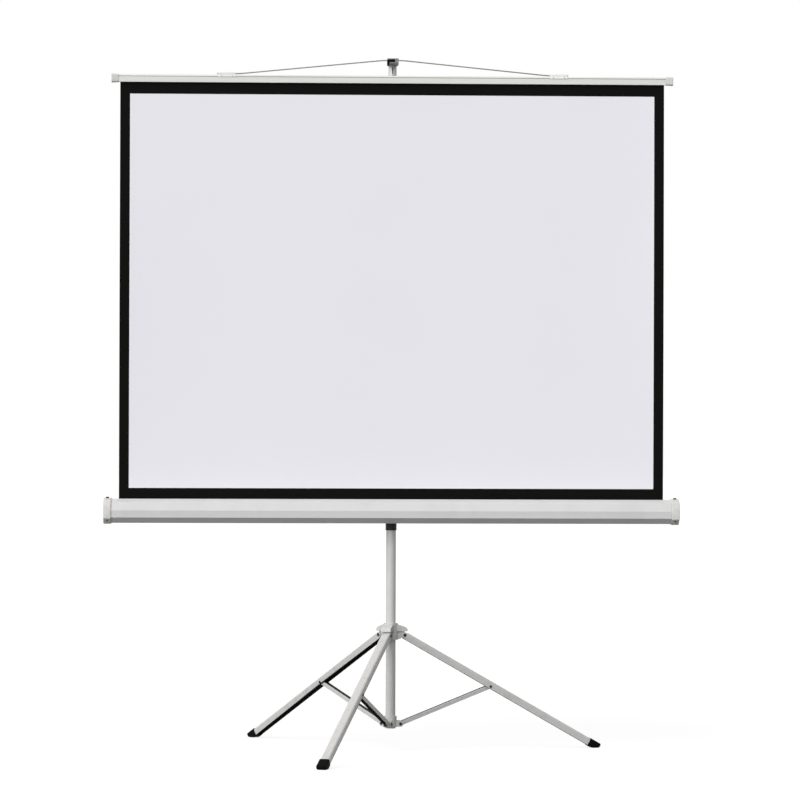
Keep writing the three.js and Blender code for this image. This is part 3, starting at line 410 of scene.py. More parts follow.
# Drawn steel wire of the bail, dulled by handling.
WIRE_STEEL = Finish(
    "drawn_steel_wire", ("#6f6f6e", "#7d7d7b", "#666665"), 0.4, metallic=0.8, cloud_mm=30, grain_mm=2
)
# Painted shade: near black inside the rolled channels, where the shade falls in their open hollow.
CHANNEL_PAINTED_SHADE = Finish("phosphated_steel_inside", ("#121212", "#1a1a19"), 0.6, cloud_mm=25, grain_mm=3, specular=0.2)
# Blackened steel of the rivets and pivot pins.
DARK_STEEL = Finish("blackened_steel_rivet", ("#1b1b1c", "#28282a"), 0.42, metallic=0.3, cloud_mm=6, grain_mm=1.5, specular=0.3)
# Galvanised roller tube, with the spangle of hot-dip zinc.
ROLLER_STEEL = Finish(
    "galvanised_steel_roller", ("#8f9192", "#a7a9aa", "#9a9c9d"), 0.45, metallic=0.75, cloud_mm=18, grain_mm=3
)
# Die-cast zinc, painted silver: a slightly pebbled coat, rubbed on its arrises.
CAST_PAINT = Finish(
    "painted_die_casting",
    ("#b7b7b5", "#c1c1bf", "#b0b0ae"),
    0.56,
    cloud_mm=22,
    grain_mm=2.5,
    grain_height_mm=0.05,
    specular=0.35,
    edge_tone="#d4d4d1",
)
# Pale grey ABS with a spark-eroded mould texture.
GREY_ABS = Finish(
    "grey_abs_moulding", ("#c4c3c0", "#cac9c6", "#bfbebb"), 0.5, cloud_mm=30, grain_mm=2, grain_height_mm=0.04
)
# Mid-grey nylon of the hook: a dull moulded skin, paler where the wire rubs its edges.
GREY_NYLON = Finish(
    "grey_nylon_hook",
    ("#7a7a78", "#868684", "#737372"),
    0.5,
    cloud_mm=12,
    grain_mm=2,
    grain_height_mm=0.05,
    specular=0.3,
    edge_tone="#a2a29f",
)
# Black glass-filled nylon: dark, slightly dusty in its texture.
BLACK_NYLON = Finish(
    "black_nylon_moulding",
    ("#141415", "#1d1d1e", "#191919"),
    0.46,
    cloud_mm=16,
    grain_mm=2,
    grain_height_mm=0.05,
    specular=0.2,
    edge_tone="#2c2c2c",
)
# Black EPDM rubber: dull, with pale dust where it meets the floor.
BLACK_RUBBER = Finish(
    "black_epdm_rubber",
    ("#080808", "#0d0d0d", "#0a0a09"),
    0.72,
    cloud_mm=12,
    grain_mm=3,
    grain_height_mm=0.08,
    specular=0.04,
    edge_tone="#161615",
)
# Black PVC coating on the back of the screen vinyl: dull, with a faint broad unevenness.
BLACK_BACKING = Finish(
    "black_pvc_backing", ("#181819", "#1f1f20", "#1b1b1b"), 0.66, cloud_mm=260, grain_mm=5, specular=0.25
)
# Painted shade: a mid-grey strip along the bar's upper front edge, for the dark line of shade there.
BAR_EDGE_PAINTED_SHADE = Finish("painted_shade_edge_strip", ("#7b7b79", "#868684"), 0.55, cloud_mm=20, grain_mm=3)


class FinishBook:
    """Makes each finish once and hands it out again."""

    def __init__(self) -> None:
        """Starts with no finish made."""
        self._made: Dict[str, bpy.types.Material] = {}

    def get(self, finish: "Finish | SheetFaceFinish") -> bpy.types.Material:
        """Hands out a finish's material.

        Args:
            finish: The finish.

        Returns:
            Its material.
        """
        if finish.name not in self._made:
            self._made[finish.name] = finish.build()
        return self._made[finish.name]


class Workshop:
    """Modelling steps that every sub-assembly shares."""

    def __init__(self, book: FinishBook) -> None:
        """Keeps the finishes.

        Args:
            book: The finishes.
        """
        self.book = book

    @staticmethod
    def clear() -> None:
        """Leaves nothing selected, in object mode."""
        if bpy.context.object and bpy.context.object.mode != "OBJECT":
            bpy.ops.object.mode_set(mode="OBJECT")
        bpy.ops.object.select_all(action="DESELECT")

    def take(self, piece: bpy.types.Object) -> bpy.types.Object:
        """Makes a piece the only one selected, and the active one."""
        self.clear()
        piece.select_set(True)
        bpy.context.view_layer.objects.active = piece
        return piece

    def settle(self, piece: bpy.types.Object, name: str) -> bpy.types.Object:
        """Puts a piece's place, turn and size into its mesh and names it.

        Args:
            piece: The piece.
            name: Its name.

        Returns:
            The piece.
        """
        self.take(piece)
        bpy.ops.object.transform_apply(location=True, rotation=True, scale=True)
        piece.name = name
        piece.data.name = name
        return piece

    def edit(self, piece: bpy.types.Object, *steps: Callable[[], object], select: bool = True) -> bpy.types.Object:
        """Runs edit-mode steps on a piece.

        Args:
            piece: The piece.
            steps: The operators to run in order.
            select: True to start with everything selected.

        Returns:
            The piece.
        """
        self.take(piece)
        bpy.ops.object.mode_set(mode="EDIT")
        bpy.ops.mesh.select_mode(type="VERT")
        bpy.ops.mesh.select_all(action="SELECT" if select else "DESELECT")
        for step in steps:
            step()
        bpy.ops.object.mode_set(mode="OBJECT")
        return piece

    def modify(self, piece: bpy.types.Object, kind: str, **settings: object) -> bpy.types.Object:
        """Adds a modifier and applies it.

        Args:
            piece: The piece.
            kind: The modifier's type.
            settings: Its values.

        Returns:
            The piece.
        """
        self.take(piece)
        modifier = piece.modifiers.new(kind.lower(), kind)
        for name, value in settings.items():
            setattr(modifier, name, value)
        bpy.ops.object.modifier_apply(modifier=modifier.name)
        return piece

    def smooth(self, piece: bpy.types.Object, degrees: float = 32.0) -> bpy.types.Object:
        """Shades a piece smooth, with edges sharper than an angle left sharp."""
        self.take(piece)
        bpy.ops.object.shade_smooth_by_angle(angle=math.radians(degrees))
        return piece

    def dress(
        self, piece: bpy.types.Object, body: str, finish: "Finish | SheetFaceFinish", slot: str
    ) -> bpy.types.Object:
        """Gives a piece its finish and the body that it rides on.

        Args:
            piece: The piece.
            body: The body's name.
            finish: The finish.
            slot: The record's material slot; not used.

        Returns:
            The piece.
        """
        piece.data.materials.clear()
        piece.data.materials.append(self.book.get(finish))
        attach(piece, body)
        LOG.info("%s rides on %s", piece.name, body)
        return piece

    def formed(
        self,
        node: str,
        edge: Edge,
        degrees: float = 38.0,
        shift: Optional[Callable[[Vector], Vector]] = None,
    ) -> bpy.types.Object:
        """Copies a solid and rounds its edges.

        Args:
            node: The solid's node name.
            edge: How far its edges are rounded.
            degrees: The least angle of an edge that is rounded.
            shift: Tells how far a point of the copy is moved before its edges are rounded.

        Returns:
            The copy, which stands for the node.
        """
        source = FRAME["nodes"][node]
        piece = source.copy()
        piece.data = source.data.copy()
        for key in list(piece.keys()):
            del piece[key]
        piece.parent = None
        piece.matrix_world = Matrix.Identity(4)
        bpy.context.scene.collection.objects.link(piece)
        piece.hide_render = piece.hide_viewport = False
        self.edit(
            piece,
            lambda: bpy.ops.mesh.customdata_custom_splitnormals_clear() if piece.data.has_custom_normals else None,
            lambda: bpy.ops.mesh.remove_doubles(threshold=0.002 * MM),
            lambda: bpy.ops.mesh.dissolve_limited(angle_limit=math.radians(0.6)),
        )
        if shift:
            for vertex in piece.data.vertices:
                vertex.co += shift(vertex.co)
        self.modify(
            piece,
            "BEVEL",
            width=edge.value,
            segments=2,
            limit_method="ANGLE",
            angle_limit=math.radians(degrees),
            use_clamp_overlap=True,
            miter_outer="MITER_ARC",
        )
        self.even_out(piece)
        piece.name = f"{node}_formed"
        piece.data.name = piece.name
        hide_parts(node)
        return piece

    def even_out(self, piece: bpy.types.Object) -> bpy.types.Object:
        """Shades a formed piece so that its flat faces stay flat beside its rounded edges."""
        self.edit(piece, lambda: bpy.ops.mesh.quads_convert_to_tris(quad_method="BEAUTY", ngon_method="BEAUTY"))
        self.smooth(piece)
        return self.modify(piece, "WEIGHTED_NORMAL", keep_sharp=True, weight=80)

    def second_finish(
        self, piece: bpy.types.Object, finish: Finish, chosen: Callable[[Vector, Vector], bool]
    ) -> bpy.types.Object:
        """Gives some of a piece's faces another finish.

        Args:
            piece: The piece, already dressed.
            finish: The other finish.
            chosen: Tells from a face's middle and normal whether it gets that finish.

        Returns:
            The piece.
        """
        piece.data.materials.append(self.book.get(finish))
        for face in piece.data.polygons:
            if chosen(face.center, face.normal):
                face.material_index = 1
        return piece

    def split(self, piece: bpy.types.Object, spot: Point, normal: Point) -> bpy.types.Object:
        """Cuts a piece's faces along a plane, with nothing taken away.

        Args:
            piece: The piece.
            spot: A point of the plane.
            normal: The plane's normal.

        Returns:
            The piece.
        """
        return self.edit(piece, lambda: bpy.ops.mesh.bisect(plane_co=spot, plane_no=normal))

    def domed(self, name: str, radius: float, height: float, dome: float) -> bpy.types.Object:
        """Models a domed head that stands on the origin, towards +Z.

        Args:
            name: The model's name.
            radius: Its radius.
            height: Its height above the origin.
            dome: How far its top edge is rounded.

        Returns:
            The model.
        """
        self.clear()
        bpy.ops.mesh.primitive_cylinder_add(vertices=28, radius=radius, depth=height)
        head = bpy.context.object
        head.location.z = height / 2
        self.settle(head, name)
        self.modify(head, "BEVEL", width=dome, segments=4, limit_method="ANGLE", angle_limit=math.radians(50))
        return self.smooth(head, 40)

    @staticmethod
    def facing(spot: Vector, towards: Vector) -> Matrix:
        """Gives the place of a model whose +Z is turned towards a direction."""
        return Matrix.Translation(spot) @ towards.to_track_quat("Z", "Y").to_matrix().to_4x4()

    def copy_to(self, model: bpy.types.Object, name: str, place: Matrix) -> bpy.types.Object:
        """Copies a model, with its own mesh, to a place.

        Args:
            model: The finished model at the origin.
            name: The copy's name.
            place: Where the copy goes.

        Returns:
            The copy.
        """
        piece = model.copy()
        piece.data = model.data.copy()
        bpy.context.scene.collection.objects.link(piece)
        piece.data.transform(place)
        piece.name = piece.data.name = name
        return piece


FRAME: Dict[str, object] = {}


@dataclass
class Studio:
    """The camera at the photograph's place, the pale floor and the soft light."""

    camera_place: Point = (-0.3934, -12.0022, 1.0788)
    yaw: float = 0.0349  # radians, towards +X
    pitch: float = 0.0055
    roll: float = 0.0032
    focal_px: float = 3697.1
    sensor_mm: float = 36.0
    floor_half: float = 60.0
    sun_azimuth: float = -40.0  # degrees from the front, towards the left
    sun_height: float = 33.0
    sun_strength: float = 3.42
    sun_angle: float = 72.0
    sky: float = 0.42

    def build(self) -> None:
        """Makes the camera, floor, lamp and world."""
        self._camera()
        self._floor()
        self._lamp()
        self._world()
        bpy.context.scene.view_settings.view_transform = "Standard"

    def _camera(self) -> None:
        """Sets the camera at the photograph's place and turn."""
        bpy.ops.object.camera_add()
        camera = bpy.context.object
        camera.name = "photo_camera"
        ahead = Vector(
            (
                math.sin(self.yaw) * math.cos(self.pitch),
                math.cos(self.yaw) * math.cos(self.pitch),
                math.sin(self.pitch),
            )
        )
        level = Vector((math.cos(self.yaw), -math.sin(self.yaw), 0))
        upright = level.cross(ahead)
        right = level * math.cos(self.roll) + upright * math.sin(self.roll)
        up = upright * math.cos(self.roll) - level * math.sin(self.roll)
        turn = Matrix((right, up, -ahead)).transposed().to_4x4()
        camera.matrix_world = Matrix.Translation(self.camera_place) @ turn
        camera.data.sensor_width = self.sensor_mm
        camera.data.lens = self.focal_px * self.sensor_mm / IMAGE_SIDE
        camera.data.clip_end = 500
        bpy.context.scene.camera = camera

    def _floor(self) -> None:
        """Lays a pale floor that shows white to the camera but keeps the object's shadow."""
        bpy.ops.mesh.primitive_plane_add(size=2 * self.floor_half, location=(0, 0, -0.0005))
        floor = bpy.context.object
        floor.name = "floor"
        material, tree, output = fresh_tree("pale_floor")
        rays = add_node(tree, "ShaderNodeLightPath")
        seen = add_node(
            tree,
            "ShaderNodeMath",
            {"operation": "MAXIMUM"},
            {0: rays.outputs["Is Camera Ray"], 1: rays.outputs["Is Glossy Ray"]},
        )
        shown = add_node(tree, "ShaderNodeBsdfDiffuse", inputs={"Color": linear("#909090")})
        glow = add_node(tree, "ShaderNodeEmission", inputs={"Color": (1, 1, 1, 1), "Strength": 0.78})
        pale = add_node(tree, "ShaderNodeAddShader", inputs={0: shown.outputs["BSDF"], 1: glow.outputs["Emission"]})
        bounce = add_node(tree, "ShaderNodeBsdfDiffuse", inputs={"Color": linear("#6e6e6e")})
        mix = add_node(
            tree,
            "ShaderNodeMixShader",
            inputs={"Fac": seen.outputs["Value"], 1: bounce.outputs["BSDF"], 2: pale.outputs["Shader"]},
        )
        tree.links.new(mix.outputs["Shader"], output.inputs["Surface"])
        floor.data.materials.append(material)

    def _lamp(self) -> None:
        """Sets one broad soft key light, high at the front left."""
        bpy.ops.object.light_add(type="SUN")
        sun = bpy.context.object
        sun.name = "soft_key"
        sun.data.energy = self.sun_strength
        sun.data.angle = math.radians(self.sun_angle)
        azimuth, height = math.radians(self.sun_azimuth), math.radians(self.sun_height)
        towards = Vector(
            (math.sin(azimuth) * math.cos(height), -math.cos(azimuth) * math.cos(height), math.sin(height))
        )
        sun.rotation_mode = "QUATERNION"
        sun.rotation_quaternion = towards.to_track_quat("Z", "Y")

    def _world(self) -> None:
        """Sets an even sky that the camera and the gloss see as white."""
        world = bpy.data.worlds.new("studio")
        bpy.context.scene.world = world
        world.use_nodes = True
        tree = world.node_tree
        tree.nodes.clear()
        output = add_node(tree, "ShaderNodeOutputWorld")
        rays = add_node(tree, "ShaderNodeLightPath")
        seen = add_node(
            tree,
            "ShaderNodeMath",
            {"operation": "MAXIMUM"},
            {0: rays.outputs["Is Camera Ray"], 1: rays.outputs["Is Transmission Ray"]},
        )
        bright = add_node(
            tree,
            "ShaderNodeMath",
            {"operation": "MAXIMUM"},
            {0: seen.outputs["Value"], 1: rays.outputs["Is Glossy Ray"]},
        )
        strength = add_node(
            tree, "ShaderNodeMapRange", inputs={"Value": bright.outputs["Value"], "To Min": self.sky, "To Max": 1.0}
        )
        light = add_node(
            tree,
            "ShaderNodeBackground",
            inputs={"Color": (1, 1, 1, 1), "Strength": strength.outputs["Result"]},
        )
        tree.links.new(light.outputs["Background"], output.inputs["Surface"])


@dataclass
class ScreenSheet:
    """The screen's vinyl: the stretched sheet and the turns left on the roller."""

    shop: Workshop
    width: float = 1771 * MM
    view_width: float = 1707 * MM
    foot: float = 783 * MM  # where the sheet leaves the roller
    slot: float = 822 * MM  # the case's top
    bottom_border: float = 35 * MM
    top_border: float = 38 * MM
    bar_foot: float = 2175 * MM
    hem: float = 9 * MM
    thick: float = 0.6 * MM
    across: int = 110
    along: int = 96
    curl: float = 5.0 * MM  # forward curl of the free edges at mid height
    wave: float = 1.1 * MM
    wave_length: float = 0.62
    lowered: float = 970 * MM  # how far the bar comes down
    roll_turns: int = 3
    roll_pitch: float = 0.9 * MM
    roll_steps: int = 64

    @property
    def head(self) -> float:
        """The sheet's upper edge, inside the bar."""
        return self.bar_foot + self.hem

    @property
    def border_foot(self) -> float:
        """The lower edge of the black border under the bar."""
        return self.bar_foot - self.top_border

    def build(self) -> None:
        """Makes both parts of the sheet."""
        self._stretched()
        self._wound()

    def _stretched(self) -> None:
        """Makes the sheet between the roller and the bar, with its edges curling a little."""
        low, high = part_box("screen_fabric")
        middle = (low.y + high.y) / 2
        length = self.head - self.foot
        self.shop.clear()
        bpy.ops.mesh.primitive_grid_add(
            x_subdivisions=self.across, y_subdivisions=self.along, size=1, calc_uvs=True
        )
        sheet = bpy.context.object
        sheet.scale = (self.width, length, 1)
        sheet.rotation_euler = (math.pi / 2, 0, 0)
        sheet.location = (0, middle, (self.foot + self.head) / 2)
        self.shop.settle(sheet, "screen_sheet")
        for vertex in sheet.data.vertices:
            vertex.co.y += self._out(vertex.co.x, vertex.co.z)
        face = SheetFaceFinish(
            "matte_white_screen_vinyl",
            ("#e5e4ea", "#e6e5eb", "#e5e4ea"),
            "#0a0a09",
            self.width,
            length,
            (self.width - self.view_width) / 2,
            self.slot + self.bottom_border - self.foot,
            self.head - self.bar_foot + self.top_border,
        )
        sheet.data.materials.append(self.shop.book.get(face))
        sheet.data.materials.append(self.shop.book.get(BLACK_BACKING))
        strip = self._head_strip(sheet)
        for piece, foot, head, body in (
            (sheet, self.foot, self.border_foot, "mast"),
            (strip, self.border_foot, self.head, "top_bar"),
        ):
            self.shop.modify(
                piece, "SOLIDIFY", thickness=self.thick, offset=0, material_offset=1, material_offset_rim=1
            )
            self.shop.smooth(piece)
            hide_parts("screen_fabric")
            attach(piece, body)
            LOG.info("%s rides on %s", piece.name, body)
        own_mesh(sheet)

    def _head_strip(self, sheet: bpy.types.Object) -> bpy.types.Object:
        """Parts the top border from the sheet, because it comes down whole with the bar.

        Args:
            sheet: The whole sheet, still without its thickness.

        Returns:
            The border's strip.
        """
        strip = self.shop.copy_to(sheet, "sheet_head_border", Matrix.Identity(4))
        line = {"plane_co": (0, 0, self.border_foot), "plane_no": (0, 0, 1)}
        self.shop.edit(sheet, lambda: bpy.ops.mesh.bisect(clear_outer=True, **line))
        self.shop.edit(strip, lambda: bpy.ops.mesh.bisect(clear_inner=True, **line))
        return strip

    def _out(self, x: float, z: float) -> float:
        """How far the sheet stands out of its plane.

        Args:
            x: Place across the sheet.
            z: Height.

        Returns:
            The distance along Y; the audience's side is negative.
        """
        share = (z - self.slot) / (self.bar_foot - self.slot)
        if not 0 < share < 1:
            return 0.0
        slack = math.sin(math.pi * share)
        edge = abs(x) / (self.width / 2)
        ripple = self.wave * math.sin(2 * math.pi * x / self.wave_length + 0.7)
        return slack * (ripple * (1 - edge**4) - self.curl * edge**9)

    def _wound(self) -> None:
        """Makes the turns that stay on the roller, as one spiral sheet."""
        low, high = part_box("rolled_fabric")
        tube_low, tube_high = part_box("roller_tube")
        centre = Vector((0, (tube_low.y + tube_high.y) / 2, (tube_low.z + tube_high.z) / 2))
        outer = high.y - centre.y - self.thick / 2
        steps = self.roll_turns * self.roll_steps
        self.shop.clear()
        bpy.ops.mesh.primitive_grid_add(x_subdivisions=12, y_subdivisions=steps, size=1, calc_uvs=True)
        roll = bpy.context.object
        roll.scale = (high.x - low.x, 1, 1)
        self.shop.settle(roll, "wound_sheet")
        turn = 2 * math.pi * self.roll_turns
        for vertex in roll.data.vertices:
            share = vertex.co.y + 0.5
            radius = outer - self.roll_pitch * self.roll_turns * (1 - share)
            vertex.co.y = centre.y + radius * math.cos(turn * share)
            vertex.co.z = centre.z + radius * math.sin(turn * share)
        self.shop.modify(roll, "SOLIDIFY", thickness=self.thick, offset=0)
        self.shop.smooth(roll)
        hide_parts("rolled_fabric")
        self.shop.dress(roll, "roller", BLACK_BACKING, "screen_vinyl")


@dataclass
class SpringRoller:
    """The roller inside the case with its torsion spring."""

    shop: Workshop
    wire: float = 1.2 * MM
    coil: float = 10.5 * MM
    turns: int = 24
    steps: int = 20
    sides: int = 10

    def build(self) -> None:
        """Dresses the roller's pieces and winds the spring."""
        for node, finish, slot in (
            ("roller_tube", ROLLER_STEEL, "steel"),
            ("idler_plug", BLACK_NYLON, "black_plastic"),
            ("spring_plug", BLACK_NYLON, "black_plastic"),
        ):
            self.shop.dress(self.shop.formed(node, Edge.CRISP), "roller", finish, slot)
        self.shop.dress(self.shop.formed("spring_axle", Edge.CRISP), "mast", ZINC_STEEL, "steel")
        self._spring()

    def _spring(self) -> None:
        """Winds the spring as one round wire with closed ends."""
        low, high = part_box("roller_spring")
        centre = (low + high) / 2
        run = high.x - low.x - 2 * self.wire
        self.shop.clear()
        bpy.ops.mesh.primitive_circle_add(
            vertices=self.sides, radius=self.wire, fill_type="NGON", location=(0, self.coil, 0), rotation=(0, 0, 0)
        )
        spring = bpy.context.object
        spring.rotation_euler = (0, math.pi / 2, math.pi / 2)
        self.shop.settle(spring, "torsion_spring")
        self.shop.edit(spring, lambda: bpy.ops.mesh.delete(type="ONLY_FACE"))
        self.shop.modify(
            spring,
            "SCREW",
            axis="X",
            angle=2 * math.pi,
            screw_offset=run / self.turns,
            iterations=self.turns,
            steps=self.steps,
            render_steps=self.steps,
            use_merge_vertices=True,
        )
        self.shop.edit(
            spring,
            lambda: bpy.ops.mesh.select_all(action="DESELECT"),
            lambda: bpy.ops.mesh.select_non_manifold(),
            lambda: bpy.ops.mesh.fill_holes(sides=0),
            lambda: bpy.ops.mesh.select_all(action="SELECT"),
            lambda: bpy.ops.mesh.normals_make_consistent(inside=False),
        )
        spring.location = (low.x + self.wire, centre.y, centre.z)
        self.shop.settle(spring, "torsion_spring")
        self.shop.smooth(spring, 60)
        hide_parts("roller_spring")
        self.shop.dress(spring, "roller", ZINC_STEEL, "steel")


@dataclass
class Case:
    """The case that hides the roller, with its end caps, screws and carrier."""

    shop: Workshop
    screw_radius: float = 2.9 * MM
    screw_head: float = 1.7 * MM
    screw_lift: float = 0.2 * MM
    recess: Tuple[float, float, float] = (3.4 * MM, 0.9 * MM, 1.2 * MM)
    under: float = 12 * MM  # heights of the solid's front faces, from the underside up
    lower: float = 25 * MM
    bevel: float = 10 * MM
    front_depth: float = 34 * MM  # how far back the front's faces reach
    edge_rise: float = 6 * MM  # how far the lower edge and the crease stand above the solid's
    edge_forward: float = 2 * MM
    crease_rise: float = 4 * MM
    under_slope: float = math.radians(32.7)  # of the cap's lower front, from level
    bore_radius: float = 3.8 * MM
    bore_depth: float = 1.8 * MM
    nub_radius: float = 5.5 * MM
    nub_height: float = 4.0 * MM
    screws: List[bpy.types.Object] = field(default_factory=list)

    def build(self) -> None:
        """Dresses the case and adds its screws."""
        shell = self.shop.formed("case_shell", Edge.FORMED, 12, self._shift)
        self.shop.dress(shell, "mast", CASE_PAINT, "silver_paint")
        caps: Dict[Side, bpy.types.Object] = {}
        for side in Side:
            caps[side] = self.shop.formed(f"case_cap_{side.name.lower()}", Edge.MOULDED, 25, self._shift)
            self.shop.dress(caps[side], "mast", GREY_ABS, "grey_plastic")
        self.shop.dress(self.shop.formed("case_carrier", Edge.FORMED), "mast", BLACK_NYLON, "black_plastic")
        self.shop.dress(self.shop.formed("case_pivot_bolt", Edge.CRISP), "mast", ZINC_STEEL, "steel")
        self._screws(caps)

    def _shift(self, point: Vector) -> Vector:
        """Tells how far a point of the case's front moves, to where its crease and lower edge show.

        Args:
            point: A point of the case or of a cap.

        Returns:
            The move, which is nothing at the top, at the underside and behind the front.
        """
        low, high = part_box("case_shell")
        if point.y > low.y + self.front_depth:
            return Vector()
        edge = low.z + self.under
        steps = (
            (low.z, Vector()),
            (edge, Vector((0, -self.edge_forward, self.edge_rise))),
            (edge + self.lower, Vector((0, 0, self.crease_rise))),
            (high.z - self.bevel, Vector()),
        )
        for (foot, start), (head, end) in zip(steps, steps[1:]):
            if foot <= point.z <= head:
                return start.lerp(end, (point.z - foot) / (head - foot))
        return Vector()

    def _screw_model(self) -> bpy.types.Object:
        """Models one pan-head screw with a cross recess, its head towards +Z.

        Returns:
            The screw.
        """
        self.shop.clear()
        bpy.ops.mesh.primitive_cylinder_add(vertices=28, radius=self.screw_radius, depth=self.screw_head)
        screw = bpy.context.object
        screw.location.z = self.screw_head / 2 - self.screw_lift
        self.shop.settle(screw, "cap_screw")
        self.shop.modify(
            screw, "BEVEL", width=0.8 * MM, segments=3, limit_method="ANGLE", angle_limit=math.radians(50)
        )
        arm, thin, deep = self.recess
        for turn in (0.0, math.pi / 2):
            self.shop.clear()
            bpy.ops.mesh.primitive_cube_add(size=1)
            cutter = bpy.context.object
            cutter.scale = (arm, thin, 2 * deep)
            cutter.rotation_euler.z = turn
            cutter.location.z = self.screw_head - self.screw_lift
            self.shop.settle(cutter, "screw_recess")
            self.shop.modify(screw, "BOOLEAN", operation="DIFFERENCE", object=cutter, solver="EXACT")
            bpy.data.objects.remove(cutter)
        return self.shop.smooth(screw, 30)

    def _counterbore(self, cap: bpy.types.Object, spot: Vector) -> None:
        """Sinks a round seat for a screw's head into a cap's end.

        Args:
            cap: The cap.
            spot: The seat's middle on the cap's end face.
        """
        self.shop.clear()
        bpy.ops.mesh.primitive_cylinder_add(
            vertices=32, radius=self.bore_radius, depth=2 * self.bore_depth, rotation=(0, math.pi / 2, 0)
        )
        cutter = bpy.context.object
        cutter.location = spot
        self.shop.settle(cutter, "screw_seat")
        self.shop.modify(cap, "BOOLEAN", operation="DIFFERENCE", object=cutter, solver="EXACT")
        bpy.data.objects.remove(cutter)

    def _screws(self, caps: Dict[Side, bpy.types.Object]) -> None:
        """Sets a screw under each cap's front, two sunk in its end and a nub on its top.

        Args:
            caps: The end caps.
        """
        model = self._screw_model()
        nub_model = self.shop.domed("cap_nub", self.nub_radius, self.nub_height, 2.2 * MM)
        under = Vector((0, -math.sin(self.under_slope), -math.cos(self.under_slope)))
        for side in Side:
            name = side.name.lower()
            low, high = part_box(f"case_cap_{name}")
            outer = high.x if side is Side.RIGHT else low.x
            across = outer - side.value * 13 * MM
            middle = (low.y + high.y) / 2
            end = Vector((side.value, 0, 0))
            spots = [(Vector((across, low.y + 12.6 * MM, low.z + 11.0 * MM)), under)]
            for back, height in ((14 * MM, high.z - 19 * MM), (8 * MM, low.z + 16 * MM)):
                face = Vector((outer, middle + back, height))
                self._counterbore(caps[side], face)
                spots.append((face - end * self.bore_depth, end))
            self.shop.even_out(caps[side])
            for i, (spot, towards) in enumerate(spots):
                screw = self.shop.copy_to(model, f"cap_screw_{name}_{i}", self.shop.facing(spot, towards))
                finish = DARK_STEEL if i == 0 else ZINC_STEEL
                self.screws.append(self.shop.dress(screw, "mast", finish, "steel"))
            top = Vector((across, middle, high.z - 0.4 * MM))
            nub = self.shop.copy_to(nub_model, f"cap_nub_{name}", self.shop.facing(top, Vector((0, 0, 1))))
            self.shop.dress(nub, "mast", BLACK_NYLON, "black_plastic")
        bpy.data.objects.remove(model)
        bpy.data.objects.remove(nub_model)


